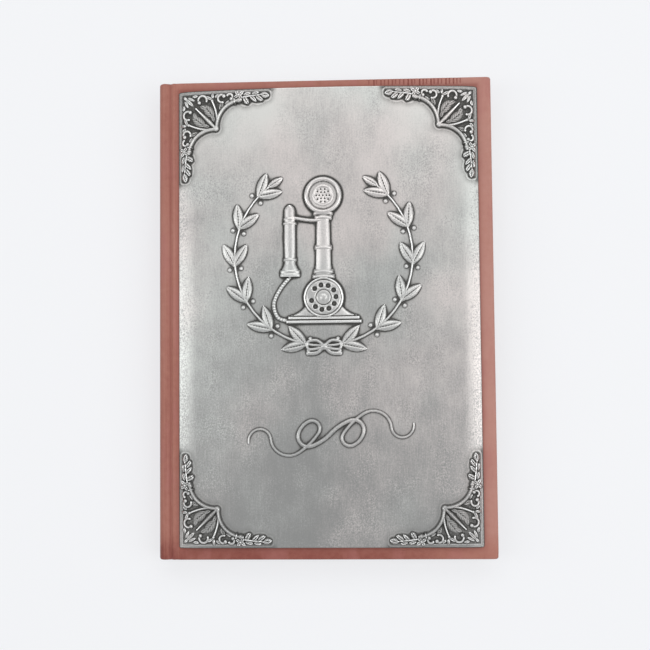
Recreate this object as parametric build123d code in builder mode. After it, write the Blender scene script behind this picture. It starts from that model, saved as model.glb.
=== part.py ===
from build123d import *
import math
import os

# A hardback telephone address book with an embossed pewter plate on its front cover.
# Millimetres, +Z up. The closed book lies on its back cover with the spine towards -X, the fore
# edge towards +X and the head towards +Y. The origin is the middle of its footprint, on the table.

# ---- driving dimensions -------------------------------------------------------------------------
# Pages
page_height = 210.0
page_width = 145.1          # from the backs of the folds to the fore edge
section_thickness = 0.9     # one folded and sewn section
flyleaf_thickness = 0.2
pastedown_thickness = 0.15
index_pairs = ("ab", "cd", "ef", "gh", "ij", "kl", "mn", "op", "qr", "st", "uv", "wz")
tab_depth = 9.0             # how far the index steps are cut back from the fore edge
tab_corner = 1.5
glue_depth = 0.2            # how far the fold backs stand proud of the glue between them

# Case
square = 3.0                # the covers' overhang past the pages
board_thickness = 2.5
cover_corner = 1.2          # the cloth's rounding over the boards' square corners
cloth_thickness = 0.4
turn_in = 15.0              # width of cloth folded over onto the inside
cover_edge_round = 0.9
card_thickness = 1.5        # stiffener of the spine
hollow_gap = 0.6            # air between the spine card and the lined back of the pages
lining_thickness = 0.3
lining_margin = 6.0         # the lining stops this far short of head and tail
shoulder_radius = 2.8       # the spine's rounded shoulders, centred on the cover hinges
joint_clearance = 0.3       # running clearance of covers and leaves round the shoulders
groove_floor = 1.0          # the joint cloth's lowest point above the cover's inner face
groove_place = 2.2          # and how far it lies from the hinge axis
groove_rise = 0.6           # how much higher the cloth meets the cover's edge
band_radius = 1.0           # head and tail bands
band_inset = 1.2            # from the fold backs to the middle of the band

# Pewter plate
plate_width = 135.5
plate_side = 205.8          # height of its straight sides
plate_bow = 1.2             # the head edge is bowed outwards by this much
plate_fore_margin = 6.2     # from the plate to the cover's fore edge
plate_tail_margin = 5.4
plate_rise = 1.9            # height of the flat middle above the cloth
plate_lip = 0.6             # height left at the rolled-down sides
plate_roll = 8.0            # width over which the sides roll down
plate_corner = 1.0
section_overrun = 1.0       # the plate's section is drawn this much wider than the plate

# Corner ornaments, cast and soldered on
ornament_arm = 40.6
ornament_cusp = 17.5        # the inner cusp's distance from both edges
ornament_lobes = ((2.0, 0.0), (0.0, 1.7), (2.4, 3.4), (5.0, 4.9), (8.0, 4.0), (10.2, 5.6), (13.0, 4.6))
cusp_hollow = (2.0, -8.6)   # how the side curves inwards between the cusp and the lobes
ornament_margin = 1.2       # bare strip of plate outside an ornament
ornament_thickness = 0.7
ornament_rise = 0.75        # ribs above the ornament's field
rib_width = 1.5
rib_inset = 0.7             # from the cusp to the ribs' meeting point
rib_tip = (2.6, 1.7)        # the outer rib's end, back from the arm's tip
rib_bends = ((1.4, -8.4), (9.6, -13.2), (-2.0, -14.4))  # from the meeting point
diagonal_end = 5.0
scroll_radius = 3.0
scroll_width = 1.5          # at the middle of the crescent
scroll_place = (10.0, 3.6)

# Embossed figure: a candlestick telephone in an open laurel wreath
figure_shift = (-0.7, 27.0)  # its middle, from the middle of the cover
wreath_radius = 40.0
wreath_opening = 34.0       # half the angle left open at the top
leaf_stagger = 0.75         # the first pair's place along its share of the twig
leaf_pairs = 6              # pairs of leaves on each spray
leaf_length = 12.0
leaf_breadth = 4.2
leaf_splay = 30.0
leaf_stand = 2.5            # from the twig's middle to a leaf's middle
leaf_rise = 0.9
twig_width = 1.1
twig_crossing = 4.0         # degrees by which each twig starts past the bottom
foot_low = -30.0            # underside of the telephone's foot, from the figure's middle
foot_half_width = 17.0
foot_rim = 3.2
foot_rise = 1.2
neck_half_width = 3.6
dial_radius = 9.0
dial_clearance = 2.6        # from the foot's underside up to the dial
dial_rise = 1.5
finger_ring_inner = 4.9      # the finger holes run together into one sunk ring
finger_ring_outer = 7.5
stem_low = -9.0
stem_top = 20.0
stem_rise = 1.4
stem_taper = 0.75           # the stem's width at the top, as a share of the neck's
collars = ((0.0, 10.0), (13.0, 7.6), (27.5, 8.6))  # rings: height up the stem, width
collar_height = 2.2
collar_rise = 1.7
mouth_height = 27.6         # middle of the transmitter above the figure's middle
mouth_radius = 8.4
mouth_rise = 1.8
mouth_lip = 1.5
receiver_offset = 15.0      # the receiver hangs this far left of the stem
receiver_top = 21.0
receiver_foot = -9.0
receiver_half_width = 2.3
earpiece_half_width = 4.2
receiver_bell = 6.0         # height over which it flares to the earpiece
receiver_rim = 2.0
receiver_rise = 1.6
hook_height = 16.0
hook_lift = 2.0
cord_width = 1.5
cord_sag = (5.5, 8.5)       # how the receiver's cord swings out and down from the earpiece
cord_rise = 0.8

# Embossed pen flourish
flourish_shift = (2.0, -52.0)
flourish_slope = 4.0
flourish_heading = (1.0, 0.9)
flourish_bends = (
    (9.0, 5.0),
    (14.5, -1.0),
    (9.5, -6.0),
    (5.5, -0.5),
    (15.0, 7.5),
    (27.0, 0.5),
    (34.5, -3.5),
    (37.0, 1.5),
)
flourish_stroke = 1.7
flourish_rise = 0.6

# ---- what follows from them ---------------------------------------------------------------------
section_count = len(index_pairs)
tab_height = page_height / section_count
block_thickness = section_count * section_thickness + 2 * flyleaf_thickness
cover_thickness = pastedown_thickness + board_thickness + cloth_thickness
back_hinge_z = cover_thickness
front_hinge_z = back_hinge_z + block_thickness
cover_top = front_hinge_z + cover_thickness
cover_height = page_height + 2 * square
fold_inset = cloth_thickness + card_thickness + hollow_gap + lining_thickness
cover_width = fold_inset + page_width + square
spine_x = -cover_width / 2
fold_x = spine_x + fold_inset
hinge_x = spine_x + shoulder_radius
cover_edge_x = hinge_x + shoulder_radius + joint_clearance
fore_edge_x = fold_x + page_width
cover_fore_x = fore_edge_x + square
leaf_width = fore_edge_x - cover_edge_x
plate_right = cover_fore_x - plate_fore_margin
plate_left = plate_right - plate_width
plate_tail = -cover_height / 2 + plate_tail_margin
plate_head = plate_tail + plate_side
plate_top = cover_top + plate_rise
dial_height = foot_low + dial_clearance + dial_radius

os.makedirs("parts", exist_ok=True)


def save(solid, label):
    """Label a finished piece and write it as one STEP file."""
    solid.label = label
    export_step(solid, f"parts/{label}.step")


# ---- spine ---------------------------------------------------------------------------------------
def spine_band(outer, inner, length, low):
    """The spine's wrap-round section between two depths, run along the spine from y = low."""
    with BuildPart() as band:
        with BuildSketch(Plane.XZ.offset(-low)):
            with BuildLine():
                top_out = (hinge_x, front_hinge_z + shoulder_radius - outer)
                side_out = (spine_x + outer, front_hinge_z)
                side_out_low = (spine_x + outer, back_hinge_z)
                low_out = (hinge_x, back_hinge_z - shoulder_radius + outer)
                low_in = (hinge_x, back_hinge_z - shoulder_radius + inner)
                side_in_low = (spine_x + inner, back_hinge_z)
                side_in = (spine_x + inner, front_hinge_z)
                top_in = (hinge_x, front_hinge_z + shoulder_radius - inner)
                RadiusArc(top_out, side_out, -(shoulder_radius - outer))
                Line(side_out, side_out_low)
                RadiusArc(side_out_low, low_out, -(shoulder_radius - outer))
                Line(low_out, low_in)
                RadiusArc(low_in, side_in_low, shoulder_radius - inner)
                Line(side_in_low, side_in)
                RadiusArc(side_in, top_in, shoulder_radius - inner)
                Line(top_in, top_out)
            make_face()
        extrude(amount=-length)
    return band.part


card_depth = cloth_thickness + card_thickness
half_height = cover_height / 2
with BuildPart() as spine_cloth:
    add(spine_band(0, cloth_thickness, cover_height, -half_height))
    for end in (-half_height, half_height - cloth_thickness):
        add(spine_band(0, card_depth + cloth_thickness, cloth_thickness, end))
    for end in (-half_height, half_height - turn_in):
        add(spine_band(card_depth, card_depth + cloth_thickness, turn_in, end))
save(spine_cloth.part, "spine_cloth")

card_length = cover_height - 2 * cloth_thickness
with BuildPart() as spine_card:
    add(spine_band(cloth_thickness, card_depth, card_length, -card_length / 2))
save(spine_card.part, "spine_card")

# ---- sewn back of the pages ----------------------------------------------------------------------
with BuildPart() as sewn_back:
    with BuildSketch(Plane.XZ):
        with Locations((cover_edge_x, back_hinge_z)):
            Rectangle(
                cover_edge_x - fold_x - glue_depth, block_thickness, align=(Align.MAX, Align.MIN)
            )
        fold_radius = section_thickness / 2
        first_fold = back_hinge_z + flyleaf_thickness + fold_radius
        for k in range(section_count):
            with Locations((fold_x + fold_radius, first_fold + k * section_thickness)):
                Circle(fold_radius)
    extrude(amount=page_height / 2, both=True)
save(sewn_back.part, "sewn_back")

with BuildPart() as spine_lining:
    with BuildSketch(Plane.YZ.offset(fold_x)):
        with Locations((0, back_hinge_z + block_thickness / 2)):
            Rectangle(page_height - 2 * lining_margin, block_thickness - 2 * flyleaf_thickness)
    extrude(amount=-lining_thickness)
save(spine_lining.part, "spine_lining")


def end_band(label, side):
    """The woven roll on the sewn back's end: side is 1 at the head and -1 at the tail."""
    with BuildPart() as band:
        with BuildSketch(Plane.XY.offset(back_hinge_z)):
            with Locations((fold_x + band_inset, side * (page_height + band_radius) / 2)):
                Circle(band_radius)
            with Locations((fold_x + band_inset, 0)):
                Rectangle(2 * band_radius, page_height, mode=Mode.SUBTRACT)
        extrude(amount=block_thickness)
    save(band.part, label)


end_band("head_band", 1)
end_band("tail_band", -1)


# ---- leaves --------------------------------------------------------------------------------------
def leaf(label, low, thickness, steps_cut):
    """Pages that turn together: full width down to their index tab, cut back below it."""
    with BuildPart() as paper:
        with BuildSketch(Plane.XY.offset(low)) as sheet:
            with Locations((cover_edge_x, 0)):
                Rectangle(leaf_width, page_height, align=(Align.MIN, Align.CENTER))
            if steps_cut:
                with Locations((fore_edge_x, -page_height / 2)):
                    Rectangle(
                        tab_depth,
                        steps_cut * tab_height,
                        align=(Align.MAX, Align.MIN),
                        mode=Mode.SUBTRACT,
                    )
            fillet(sheet.vertices().group_by(Axis.X)[-1], radius=tab_corner)
        extrude(amount=thickness)
    save(paper.part, label)


leaf("back_flyleaf", back_hinge_z, flyleaf_thickness, 0)
for k, pair in enumerate(index_pairs):
    low = front_hinge_z - flyleaf_thickness - (k + 1) * section_thickness
    leaf(f"section_{pair}", low, section_thickness, section_count - 1 - k)
leaf("front_flyleaf", front_hinge_z - flyleaf_thickness, flyleaf_thickness, 0)


# ---- covers --------------------------------------------------------------------------------------
def board_layer(edge, width_cut, low, amount, inner):
    """One layer of a cover, set in from the fore edge, head and tail by width_cut."""
    with BuildPart() as layer:
        with BuildSketch(inner.offset(low)):
            with Locations((edge, 0)):
                Rectangle(
                    cover_fore_x - width_cut - edge,
                    cover_height - 2 * width_cut,
                    align=(Align.MIN, Align.CENTER),
                )
        extrude(amount=amount)
    return layer.part


def cover_case(side, hinge_z, outward):
    """Board, cloth, pastedown and joint cloth of one cover; outward is 1 for the front cover."""
    inner = Plane(origin=(0, 0, hinge_z), x_dir=(1, 0, 0), z_dir=(0, 0, outward))
    board_edge = cover_edge_x + cloth_thickness
    with BuildPart() as board:
        pared = cloth_thickness + turn_in
        add(board_layer(board_edge, pared, pastedown_thickness, cloth_thickness, inner))
        upper = pastedown_thickness + cloth_thickness
        thickness = board_thickness - cloth_thickness
        add(board_layer(board_edge, cloth_thickness, upper, thickness, inner))
    save(board.part, f"{side}_board")

    with BuildPart() as cloth:
        height = board_thickness + cloth_thickness
        add(board_layer(cover_edge_x, 0, pastedown_thickness, height, inner))
        fillet(cloth.edges().filter_by(Axis.Z), radius=cover_corner)
        outer_face = cloth.faces().sort_by(Axis.Z)[-1 if outward > 0 else 0]
        fillet(outer_face.edges(), radius=cover_edge_round)
        add(board.part, mode=Mode.SUBTRACT)
    save(cloth.part, f"{side}_cloth")

    with BuildPart() as pastedown:
        with BuildSketch(inner):
            with Locations((cover_edge_x, 0)):
                Rectangle(leaf_width, page_height, align=(Align.MIN, Align.CENTER))
        extrude(amount=pastedown_thickness)
    save(pastedown.part, f"{side}_pastedown")

    across = Plane(origin=(hinge_x, 0, hinge_z), x_dir=(1, 0, 0), z_dir=(0, -outward, 0))
    with BuildPart() as joint_cloth:
        with BuildSketch(across):
            with BuildLine():
                reach = shoulder_radius + joint_clearance
                dip = (groove_place, groove_floor + cloth_thickness)
                halfway = (dip[0] / 2, (shoulder_radius + dip[1]) / 2)
                edge_top = (reach, groove_floor + cloth_thickness + groove_rise)
                fall = TangentArc((0, shoulder_radius), halfway, tangent=(1, 0))
                level = TangentArc(halfway, dip, tangent=fall % 1)
                rise = TangentArc(dip, edge_top, tangent=level % 1)
                Line(edge_top, (reach, edge_top[1] - cloth_thickness))
                for bend in (fall, level, rise):
                    add(bend.moved(Location((0, -cloth_thickness, 0))))
                Line((0, shoulder_radius), (0, shoulder_radius - cloth_thickness))
            make_face()
        extrude(amount=cover_height / 2, both=True)
    save(joint_cloth.part, f"{side}_joint_cloth")


cover_case("front", front_hinge_z, 1)
cover_case("back", back_hinge_z, -1)


# ---- pewter plate --------------------------------------------------------------------------------
def plate_section(lift, bevelled=False):
    """The plate's cross-section, flat in the middle and rolled down at both sides, raised by lift.

    It is drawn a little wider than the plate, whose outline is then cut from it. Bevelled, each
    roll is two flats, as the castings on it are dressed.
    """
    drop = plate_rise - plate_lip
    roll_radius = (plate_roll**2 + drop**2) / (2 * drop)
    reach = plate_roll + section_overrun
    top = plate_top + lift

    def height(run):
        return top - roll_radius + math.sqrt(roll_radius**2 - run**2)

    with BuildPart() as bar:
        with BuildSketch(Plane.XZ):
            with BuildLine():
                for side, edge in ((1, plate_right), (-1, plate_left)):
                    shoulder = (edge - side * plate_roll, top)
                    end = (edge + side * section_overrun, height(reach))
                    if bevelled:
                        middle = (edge - side * (plate_roll - reach / 2), height(reach / 2))
                        Polyline(shoulder, middle, end)
                    else:
                        TangentArc(shoulder, end, tangent=(side, 0))
                    Line(end, (end[0], cover_top))
                Line((plate_left + plate_roll, top), (plate_right - plate_roll, top))
                Line(
                    (plate_left - section_overrun, cover_top),
                    (plate_right + section_overrun, cover_top),
                )
            make_face()
        extrude(amount=cover_height / 2, both=True)
    return bar.part


def lens(length, breadth):
    """A pointed leaf lying along X, as two arcs."""
    with BuildSketch() as leaf_shape:
        with BuildLine():
            ThreePointArc((-length / 2, 0), (0, breadth / 2), (length / 2, 0))
            ThreePointArc((-length / 2, 0), (0, -breadth / 2), (length / 2, 0))
        make_face()
    return leaf_shape.sketch


def laurel_wreath():
    """Two sprays rising from a crossing at the bottom: twigs as arcs, leaves in pairs."""
    sweep_angle = 180 - wreath_opening
    with BuildSketch() as wreath:
        for side in (-1, 1):
            start = -90 - side * twig_crossing
            with BuildLine() as twig:
                CenterArc((0, 0), wreath_radius, start, side * (sweep_angle - 2 * twig_crossing))
            trace(twig.line, line_width=twig_width)
            step = sweep_angle / leaf_pairs
            for k in range(leaf_pairs):
                angle = -90 + side * (k + leaf_stagger) * step
                for splay, spread in ((-leaf_splay, -1), (leaf_splay, 1)):
                    radius = wreath_radius + spread * leaf_stand
                    place = (
                        radius * math.cos(math.radians(angle)),
                        radius * math.sin(math.radians(angle)),
                    )
                    turn = angle + side * 90 - side * splay
                    with Locations(Location(place, turn)):
                        add(lens(leaf_length, leaf_breadth))
    return wreath.sketch


def foot_outline():
    """Bell-shaped foot in front elevation, up to the neck of the stem."""
    rim_top = foot_low + foot_rim
    with BuildSketch() as foot:
        with BuildLine():
            Polyline(
                (-foot_half_width, rim_top),
                (-foot_half_width, foot_low),
                (foot_half_width, foot_low),
                (foot_half_width, rim_top),
            )
            for side in (-1, 1):
                TangentArc(
                    (side * neck_half_width, stem_low),
                    (side * foot_half_width, rim_top),
                    tangent=(0, -1),
                )
            Line((-neck_half_width, stem_low), (neck_half_width, stem_low))
        make_face()
    return foot.sketch


def receiver_outline():
    """Hanging receiver in elevation: a cap, a tapering grip and a flared earpiece."""
    with BuildSketch() as receiver:
        with BuildLine():
            flare = receiver_foot + receiver_bell
            rim = receiver_foot + receiver_rim
            for side in (-1, 1):
                edge = side * receiver_half_width
                grip = Line((edge, receiver_top), (edge, flare))
                bell = TangentArc(grip @ 1, (side * earpiece_half_width, rim), tangent=grip % 1)
                Line(bell @ 1, (side * earpiece_half_width, receiver_foot))
            ThreePointArc(
                (-receiver_half_width, receiver_top),
                (0, receiver_top + receiver_half_width),
                (receiver_half_width, receiver_top),
            )
            Line((-earpiece_half_width, receiver_foot), (earpiece_half_width, receiver_foot))
        make_face()
    return receiver.sketch


def flourish_strokes():
    """A pen flourish that is the same turned half round: a chain of tangent arcs each way."""
    with BuildSketch() as strokes:
        for turned in (1, -1):
            at = Vector(0, 0)
            heading = Vector(*flourish_heading) * turned
            for bend in flourish_bends:
                with BuildLine() as pen:
                    arc = TangentArc(at, Vector(*bend) * turned, tangent=heading)
                trace(pen.line, line_width=flourish_stroke)
                at = arc @ 1
                heading = arc % 1
    return strokes.sketch


with BuildPart() as pewter_plate:
    with BuildSketch(Plane.XY.offset(cover_top)) as plate_outline:
        with BuildLine():
            Polyline(
                (plate_left, plate_head),
                (plate_left, plate_tail),
                (plate_right, plate_tail),
                (plate_right, plate_head),
            )
            ThreePointArc(
                (plate_left, plate_head),
                ((plate_left + plate_right) / 2, plate_head + plate_bow),
                (plate_right, plate_head),
            )
        make_face()
        fillet(plate_outline.vertices(), radius=plate_corner)
    extrude(amount=plate_rise)
    add(plate_section(0), mode=Mode.INTERSECT)

    figure = Plane(origin=(*figure_shift, plate_top))
    with BuildSketch(figure):
        add(laurel_wreath())
    extrude(amount=leaf_rise)
    with BuildSketch(figure):
        add(foot_outline())
    extrude(amount=foot_rise)
    with BuildSketch(figure):
        Polygon(
            (-neck_half_width, stem_low),
            (neck_half_width, stem_low),
            (neck_half_width * stem_taper, stem_top),
            (-neck_half_width * stem_taper, stem_top),
            align=None,
        )
    extrude(amount=stem_rise)
    with BuildSketch(figure):
        for height, width in collars:
            with Locations((0, stem_low + height)):
                Rectangle(width, collar_height)
    extrude(amount=collar_rise)
    with BuildSketch(figure):
        with Locations((0, mouth_height)):
            Circle(mouth_radius)
    extrude(amount=mouth_rise)
    with BuildSketch(figure.offset(mouth_rise)):
        with Locations((0, mouth_height)):
            Circle(mouth_radius - mouth_lip)
    extrude(amount=-mouth_rise / 2, mode=Mode.SUBTRACT)
    with BuildSketch(figure):
        with BuildLine() as hook:
            Line((0, hook_height), (-receiver_offset, hook_height + hook_lift))
        trace(hook.line, line_width=cord_width)
        with Locations((-receiver_offset, 0)):
            add(receiver_outline())
    extrude(amount=receiver_rise)
    with BuildSketch(figure):
        with BuildLine() as cord:
            ThreePointArc(
                (-receiver_offset, receiver_foot),
                (-receiver_offset - cord_sag[0], receiver_foot - cord_sag[1]),
                (-foot_half_width, foot_low + foot_rim / 2),
            )
        trace(cord.line, line_width=cord_width)
    extrude(amount=cord_rise)
    with BuildSketch(figure):
        with Locations((0, dial_height)):
            Circle(dial_radius)
    extrude(amount=dial_rise)
    with BuildSketch(figure.offset(dial_rise)):
        with Locations((0, dial_height)):
            Circle(finger_ring_outer)
            Circle(finger_ring_inner, mode=Mode.SUBTRACT)
    extrude(amount=-dial_rise / 2, mode=Mode.SUBTRACT)
    tilted = Plane(origin=(*flourish_shift, plate_top)).rotated((0, 0, flourish_slope))
    with BuildSketch(tilted):
        add(flourish_strokes())
    extrude(amount=flourish_rise)
save(pewter_plate.part, "pewter_plate")


# ---- corner ornaments ----------------------------------------------------------------------------
def ornament_outline():
    """Field of an ornament whose square corner is at the origin, arms along +X and +Y."""
    cusp = (ornament_cusp, ornament_cusp)
    hollow = (ornament_cusp + cusp_hollow[0], ornament_cusp + cusp_hollow[1])
    lobes = [(ornament_arm - back, across) for back, across in ornament_lobes]
    with BuildSketch() as field:
        with BuildLine():
            for swap in (1, -1):
                Line((0, 0), lobes[0][::swap])
                for start, crest, end in zip(lobes[::2], lobes[1::2], lobes[2::2]):
                    ThreePointArc(start[::swap], crest[::swap], end[::swap])
                ThreePointArc(lobes[-1][::swap], hollow[::swap], cusp)
        make_face()
    return field.sketch


def ornament_ribs():
    """Raised ribs: the two S-curves from the cusp to the arm tips, the fan and the scrolls."""
    meet = ornament_cusp - rib_inset
    tip = (ornament_arm - rib_tip[0], rib_tip[1])
    with BuildSketch() as ribs:
        for swap in (1, -1):
            bend, run_out, fan_end = [
                (meet + along, meet + across)[::swap] for along, across in rib_bends
            ]
            with BuildLine() as s_curve:
                inner = ThreePointArc((meet, meet), bend, run_out)
                TangentArc(inner @ 1, tip[::swap], tangent=inner % 1)
            trace(s_curve.line, line_width=rib_width)
            with BuildLine() as fan:
                Line((meet, meet), fan_end)
            trace(fan.line, line_width=rib_width)
            with BuildLine():
                back = CenterArc(scroll_place[::swap], scroll_radius, 25 * swap - 45, 180)
                middle = (back @ 0 + back @ 1) / 2
                crest = back @ 0.5 + (middle - back @ 0.5) * (scroll_width / scroll_radius)
                ThreePointArc(back @ 1, crest, back @ 0)
            make_face()
        with BuildLine() as diagonal:
            Line((meet, meet), (diagonal_end, diagonal_end))
        trace(diagonal.line, line_width=rib_width)
    return ribs.sketch


corner = (plate_left + ornament_margin, plate_tail + ornament_margin)
with BuildPart() as ornament_relief:
    with BuildSketch(Plane(origin=(*corner, cover_top))):
        add(ornament_ribs())
    extrude(amount=plate_rise + ornament_thickness + ornament_rise)
    add(plate_section(ornament_thickness + ornament_rise, bevelled=True), mode=Mode.INTERSECT)

with BuildPart() as ornament:
    with BuildSketch(Plane(origin=(*corner, cover_top))):
        add(ornament_outline())
    extrude(amount=plate_rise + ornament_thickness)
    add(plate_section(ornament_thickness, bevelled=True), mode=Mode.INTERSECT)
    add(ornament_relief.part)
    add(plate_section(0), mode=Mode.SUBTRACT)

middle_x = (plate_left + plate_right) / 2
middle_y = (plate_tail + plate_head) / 2
across_x = Plane.YZ.offset(middle_x)
across_y = Plane(origin=(0, middle_y, 0), z_dir=(0, 1, 0))
save(ornament.part, "corner_tail_spine")
save(mirror(ornament.part, about=across_x), "corner_tail_fore")
save(mirror(ornament.part, about=across_y), "corner_head_spine")
save(mirror(mirror(ornament.part, about=across_x), about=across_y), "corner_head_fore")
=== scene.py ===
"""A telephone address book: cloth case, thumb-indexed pages and an embossed pewter plate.

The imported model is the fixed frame. This script dresses it: it models the case cloth, the plate's
relief, the cast corners, the leaves and the bands round that frame, gives every node its finish,
and sets the camera and a plain studio. Lengths are millimetres until a mesh is finished.
"""

import cmath
import logging
import math
from collections.abc import Callable, Iterable, Sequence
from dataclasses import dataclass
from enum import Enum
from typing import Any

import bmesh
import bpy
import numpy as np
from bmesh.types import BMesh, BMVert
from bpy.types import Material, Object
from mathutils import Euler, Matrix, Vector


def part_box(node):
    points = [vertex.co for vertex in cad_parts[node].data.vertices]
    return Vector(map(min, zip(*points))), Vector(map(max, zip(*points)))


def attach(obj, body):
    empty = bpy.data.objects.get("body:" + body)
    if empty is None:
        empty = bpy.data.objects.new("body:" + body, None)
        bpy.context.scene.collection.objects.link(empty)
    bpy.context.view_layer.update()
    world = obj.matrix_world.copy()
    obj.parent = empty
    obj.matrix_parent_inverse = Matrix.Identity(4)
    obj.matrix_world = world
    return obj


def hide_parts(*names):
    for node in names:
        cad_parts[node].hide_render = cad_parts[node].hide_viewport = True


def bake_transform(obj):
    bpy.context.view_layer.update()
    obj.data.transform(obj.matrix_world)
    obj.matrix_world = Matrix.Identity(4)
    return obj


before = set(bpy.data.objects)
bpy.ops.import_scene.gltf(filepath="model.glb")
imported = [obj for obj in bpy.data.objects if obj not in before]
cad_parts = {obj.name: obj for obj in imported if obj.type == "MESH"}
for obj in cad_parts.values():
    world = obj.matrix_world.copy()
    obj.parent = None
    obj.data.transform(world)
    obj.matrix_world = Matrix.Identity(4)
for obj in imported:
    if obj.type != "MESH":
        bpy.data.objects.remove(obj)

log = logging.getLogger("address_book")
MM = 0.001
TINY = 1e-6
RELIEF_CREASE = 75.0
Grid = np.ndarray
Point = tuple[float, float]
Triple = tuple[float, float, float]
Colour = Triple


@dataclass(frozen=True)
class Span:
    """A node's box in millimetres."""

    low: Vector
    high: Vector

    @property
    def middle(self) -> Vector:
        """The box's middle."""
        return (self.low + self.high) / 2

    @property
    def size(self) -> Vector:
        """The box's size."""
        return self.high - self.low


def span(node: str) -> Span:
    """Read a CAD node's box in millimetres."""
    low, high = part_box(node)
    return Span(low / MM, high / MM)


# ---- shader graphs --------------------------------------------------------------------------------
class Wire:
    """A node's output; arithmetic on it adds Math nodes."""

    def __init__(self, graph: "Graph", socket: bpy.types.NodeSocket | None) -> None:
        """Hold an output socket of a graph, or none where the node has no outputs."""
        self.graph = graph
        self.socket = socket

    def _math(self, operation: str, *values: "Wire | float") -> "Wire":
        """Add a Math node over some values."""
        return self.graph.node("ShaderNodeMath", {"operation": operation}, dict(enumerate(values)))

    def __add__(self, other: "Wire | float") -> "Wire":
        """Sum."""
        return self._math("ADD", self, other)

    def __sub__(self, other: "Wire | float") -> "Wire":
        """Difference."""
        return self._math("SUBTRACT", self, other)

    def __rsub__(self, other: float) -> "Wire":
        """Difference from a number."""
        return self._math("SUBTRACT", other, self)

    def __mul__(self, other: "Wire | float") -> "Wire":
        """Product."""
        return self._math("MULTIPLY", self, other)

    def __truediv__(self, other: "Wire | float") -> "Wire":
        """Quotient."""
        return self._math("DIVIDE", self, other)

    __radd__ = __add__
    __rmul__ = __mul__

    def at_least(self, other: "Wire | float") -> "Wire":
        """The larger of two values."""
        return self._math("MAXIMUM", self, other)

    def size(self) -> "Wire":
        """The value without its sign."""
        return self._math("ABSOLUTE", self)

    def wave(self) -> "Wire":
        """Fall from 0.5 to 0 and rise back over each whole step of the value."""
        return (self._math("FRACT", self) - 0.5).size()

    def eased(self, low: float, high: float) -> "Wire":
        """Step smoothly from 0 at low to 1 at high; low may be the larger."""
        limits = {"Value": self, "From Min": low, "From Max": high}
        return self.graph.node("ShaderNodeMapRange", {"interpolation_type": "SMOOTHSTEP"}, limits)


class Graph:
    """A material's or world's node tree."""

    def __init__(self, owner: Material | bpy.types.World) -> None:
        """Give a material or world an empty tree.

        Args:
            owner: The material or world.
        """
        owner.use_nodes = True
        self.tree = owner.node_tree
        self.tree.nodes.clear()

    def node(
        self,
        kind: str,
        settings: dict[str, Any] | None = None,
        sockets: dict[str | int, Any] | None = None,
        output: str | int = 0,
    ) -> Wire:
        """Add a node.

        Args:
            kind: Blender's name for the node type.
            settings: Its settings, set before its sockets.
            sockets: Values or wires for its inputs, by name or number.
            output: The output that is wanted, by name or number.

        Returns:
            That output.
        """
        made = self.tree.nodes.new(kind)
        for name, value in (settings or {}).items():
            setattr(made, name, value)
        for name, value in (sockets or {}).items():
            socket = self._socket(made.inputs, name)
            if isinstance(value, Wire):
                self.tree.links.new(value.socket, socket)
            elif isinstance(value, tuple) and len(socket.default_value) == len(value) + 1:
                socket.default_value = (*value, 1.0)
            else:
                socket.default_value = value
        return Wire(self, self._socket(made.outputs, output) if made.outputs else None)

    @staticmethod
    def _socket(sockets: Iterable[bpy.types.NodeSocket], name: str | int) -> bpy.types.NodeSocket:
        """Find an enabled socket by name, or any by number.

        Args:
            sockets: A node's inputs or outputs.
            name: The name or number.

        Returns:
            The socket.
        """
        if isinstance(name, int):
            return list(sockets)[name]
        return next(socket for socket in sockets if socket.enabled and socket.name == name)

    def place(self, scale: Triple | float = 1.0) -> Wire:
        """Object coordinates in millimetres, stretched by a scale along each axis.

        Args:
            scale: One scale for all axes, or one for each.

        Returns:
            The stretched coordinates.
        """
        here = self.node("ShaderNodeTexCoord", output="Object")
        sizes = tuple(value / MM for value in (scale if isinstance(scale, tuple) else (scale,) * 3))
        return self.node("ShaderNodeMapping", None, {"Vector": here, "Scale": sizes})

    def axes(self) -> tuple[Wire, ...]:
        """Object coordinates in millimetres, one wire for each axis."""
        here = {"Vector": self.place()}
        return tuple(self.node("ShaderNodeSeparateXYZ", None, here, axis) for axis in "XYZ")

    def noise(self, scale: Triple | float, detail: float = 3.0, roughness: float = 0.55) -> Wire:
        """Noise from 0 to 1, its scale given in cells per millimetre along each axis."""
        sockets = {"Vector": self.place(scale), "Scale": 1.0, "Detail": detail, "Roughness": roughness}
        return self.node("ShaderNodeTexNoise", None, sockets)

    def mix(self, factor: Wire | float, first: Any, second: Any) -> Wire:
        """Mix two colours."""
        sockets = {"Factor": factor, "A": first, "B": second}
        return self.node("ShaderNodeMix", {"data_type": "RGBA"}, sockets, "Result")

    def attribute(self, name: str) -> Wire:
        """A number stored on the mesh's vertices."""
        return self.node("ShaderNodeAttribute", {"attribute_name": name}, output="Fac")

    def bump(self, height: Wire, depth: float, strength: float = 1.0) -> Wire:
        """Normals of a relief whose full height is depth millimetres."""
        sockets = {"Height": height, "Distance": depth * MM, "Strength": strength}
        return self.node("ShaderNodeBump", None, sockets)

    def principled(self, sockets: dict[str, Any]) -> Wire:
        """A Principled shader."""
        return self.node("ShaderNodeBsdfPrincipled", None, sockets, "BSDF")


# ---- finishes -------------------------------------------------------------------------------------
class Slot(Enum):
    """The record's material slots; the hinges are handed one but do not use it."""

    LEATHER = "leather"
    PEWTER = "pewter"
    PAPER = "paper"
    ENDPAPER = "endpaper"
    THREAD = "band_thread"


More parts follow.
